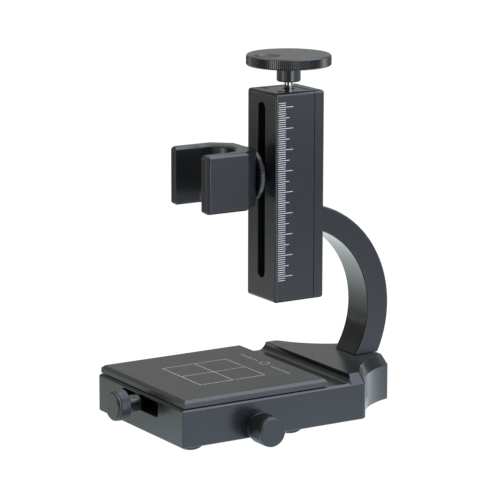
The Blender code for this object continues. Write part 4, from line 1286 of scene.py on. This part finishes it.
def floor_tint(tree):
    """What the floor's light is multiplied by on each side of the stand."""
    axes = add_node(tree, "ShaderNodeSeparateXYZ", {"Vector": coordinates(tree)})
    to_right = smooth_step(tree, axes.outputs["X"], -FLOOR_TURN, FLOOR_TURN)
    to_back = smooth_step(tree, axes.outputs["Y"], -FLOOR_TURN, FLOOR_TURN)
    left = blend(tree, to_back, FLOOR_FRONT_LEFT, FLOOR_BACK_LEFT)
    return blend(tree, to_right, left, FLOOR_RIGHT)


def far_floor(tree, light, distance):
    """The floor's light, with the dark stretch and the bright cards added far from the stand."""
    place = {0: coordinates(tree)}
    direction = add_node(tree, "ShaderNodeVectorMath", place, operation="NORMALIZE").outputs["Vector"]
    far = smooth_step(tree, distance, CARD_NEAR, CARD_NEAR + 0.2)
    towards, inner, outer, change = FLOOR_SHADE
    window = value_math(tree, "MULTIPLY", lobe(tree, direction, towards, inner, outer), far)
    total = scaled(tree, light, value_math(tree, "MULTIPLY_ADD", window, change, 1.0))
    band = value_math(tree, "MULTIPLY", far, smooth_step(tree, distance, CARD_FAR, CARD_FAR * 2, 1.0, 0.0))
    for towards, inner, outer, brightness in FLOOR_CARDS:
        card = value_math(tree, "MULTIPLY", lobe(tree, direction, towards, inner, outer), band)
        part = brightness / STRONGEST
        total = vector_math(tree, "ADD", total, scaled(tree, (part, part, part), card))
    return total


def bounce_surface():
    """A pale matt floor that also glows, brightest under the stand."""
    made, tree, output = node_tree("floor_bounce")
    place = {0: coordinates(tree)}
    distance = add_node(tree, "ShaderNodeVectorMath", place, operation="LENGTH").outputs["Value"]
    tinted = vector_math(tree, "MULTIPLY", floor_rings(tree, distance), floor_tint(tree))
    inputs = {"Color": far_floor(tree, tinted, distance), "Strength": STRONGEST}
    light = add_node(tree, "ShaderNodeEmission", inputs)
    matt = add_node(tree, "ShaderNodeBsdfDiffuse", {"Color": (FLOOR_MATT, FLOOR_MATT, FLOOR_MATT, 1.0)})
    both = add_node(tree, "ShaderNodeAddShader", {0: matt.outputs["BSDF"], 1: light.outputs["Emission"]})
    tree.links.new(both.outputs["Shader"], output.inputs["Surface"])
    return made


def make_world():
    """Ambient light with soft lobes, as a node tree of the world."""
    world = bpy.data.worlds.new("studio")
    bpy.context.scene.world = world
    world.use_nodes = True
    tree = world.node_tree
    tree.nodes.clear()
    output = tree.nodes.new("ShaderNodeOutputWorld")
    direction = tree.nodes.new("ShaderNodeTexCoord").outputs["Generated"]
    total = add_node(tree, "ShaderNodeCombineXYZ", dict(zip("XYZ", AMBIENT))).outputs["Vector"]
    for towards, inner, outer, brightness in LOBES:
        window = lobe(tree, direction, towards, inner, outer)
        total = vector_math(tree, "ADD", total, scaled(tree, brightness, window))
    background = add_node(tree, "ShaderNodeBackground", {"Color": total, "Strength": 1.0})
    tree.links.new(background.outputs["Background"], output.inputs["Surface"])


def stage_object(name, made, material):
    """A part of the studio from a bmesh."""
    mesh = bpy.data.meshes.new(name)
    made.to_mesh(mesh)
    made.free()
    mesh.materials.append(material)
    obj = bpy.data.objects.new(name, mesh)
    bpy.context.scene.collection.objects.link(obj)
    return obj


def stage_disc(name, height, material):
    """A round sheet of the floor at a height."""
    made = bmesh.new()
    bmesh.ops.create_circle(made, cap_ends=True, segments=96, radius=FLOOR_RADIUS)
    bmesh.ops.translate(made, vec=(0.0, 0.0, height), verts=made.verts)
    return stage_object(name, made, material)


def make_floor():
    """A white floor and backdrop for the camera, and below it the sheet that lights the stand."""
    floor = stage_disc("floor", 0.0, glow_surface("floor_white"))
    bounce = stage_disc("floor_bounce", -BOUNCE_DEPTH, bounce_surface())
    bounce.visible_camera = False
    made = bmesh.new()
    bmesh.ops.create_uvsphere(made, u_segments=48, v_segments=24, radius=FLOOR_RADIUS * 0.98)
    backdrop = stage_object("backdrop", made, glow_surface("backdrop_white"))
    for sheet in (floor, backdrop):
        for ray in ("diffuse", "glossy", "transmission", "volume_scatter", "shadow"):
            setattr(sheet, f"visible_{ray}", False)


CAMERA_AZIMUTH = math.radians(58.080)
CAMERA_ELEVATION = math.radians(12.070)
CAMERA_ROLL = math.radians(0.157)
CAMERA_PLACE = (1080.01, -678.88, 353.15)
CAMERA_LENS = 199.8
CAMERA_SENSOR = 36.0
CAMERA_FAR = 100.0


def make_camera():
    """The camera, placed in the stand's frame."""
    sin_a = math.sin(CAMERA_AZIMUTH)
    cos_a = math.cos(CAMERA_AZIMUTH)
    cos_e = math.cos(CAMERA_ELEVATION)
    back = Vector((sin_a * cos_e, -cos_a * cos_e, math.sin(CAMERA_ELEVATION)))
    right = Vector((cos_a, sin_a, 0.0))
    up = back.cross(right)
    rolled_right = right * math.cos(CAMERA_ROLL) + up * math.sin(CAMERA_ROLL)
    rolled_up = up * math.cos(CAMERA_ROLL) - right * math.sin(CAMERA_ROLL)
    data = bpy.data.cameras.new("camera")
    data.lens = CAMERA_LENS
    data.sensor_width = CAMERA_SENSOR
    data.clip_end = CAMERA_FAR
    camera = bpy.data.objects.new("camera", data)
    bpy.context.scene.collection.objects.link(camera)
    turn = Matrix((rolled_right, rolled_up, back)).transposed().to_4x4()
    camera.matrix_world = Matrix.Translation(STAND + Vector(CAMERA_PLACE) * MM) @ turn
    bpy.context.scene.camera = camera


# ---------------------------------------------------------------- build

def paint_frame():
    """Give every CAD node that stays the finish of its slot."""
    for node, obj in frame["nodes"].items():
        obj.data.materials.clear()
        obj.data.materials.append(SLOT_MATERIAL[NODE_SLOT[node]])


paint_frame()
make_base()
make_cover()
make_feet()
make_screws()
make_stage_plate()
make_stage_marks()
make_arm()
make_housing()
make_rear_plate()
make_top_cap()
make_scale()
make_wheel()
make_lead_screw()
make_set_screw()
make_clip()
make_lock_ring()
make_spacer()
make_stage_drives()
make_world()
make_floor()
make_camera()
bpy.context.scene.view_settings.view_transform = "Standard"
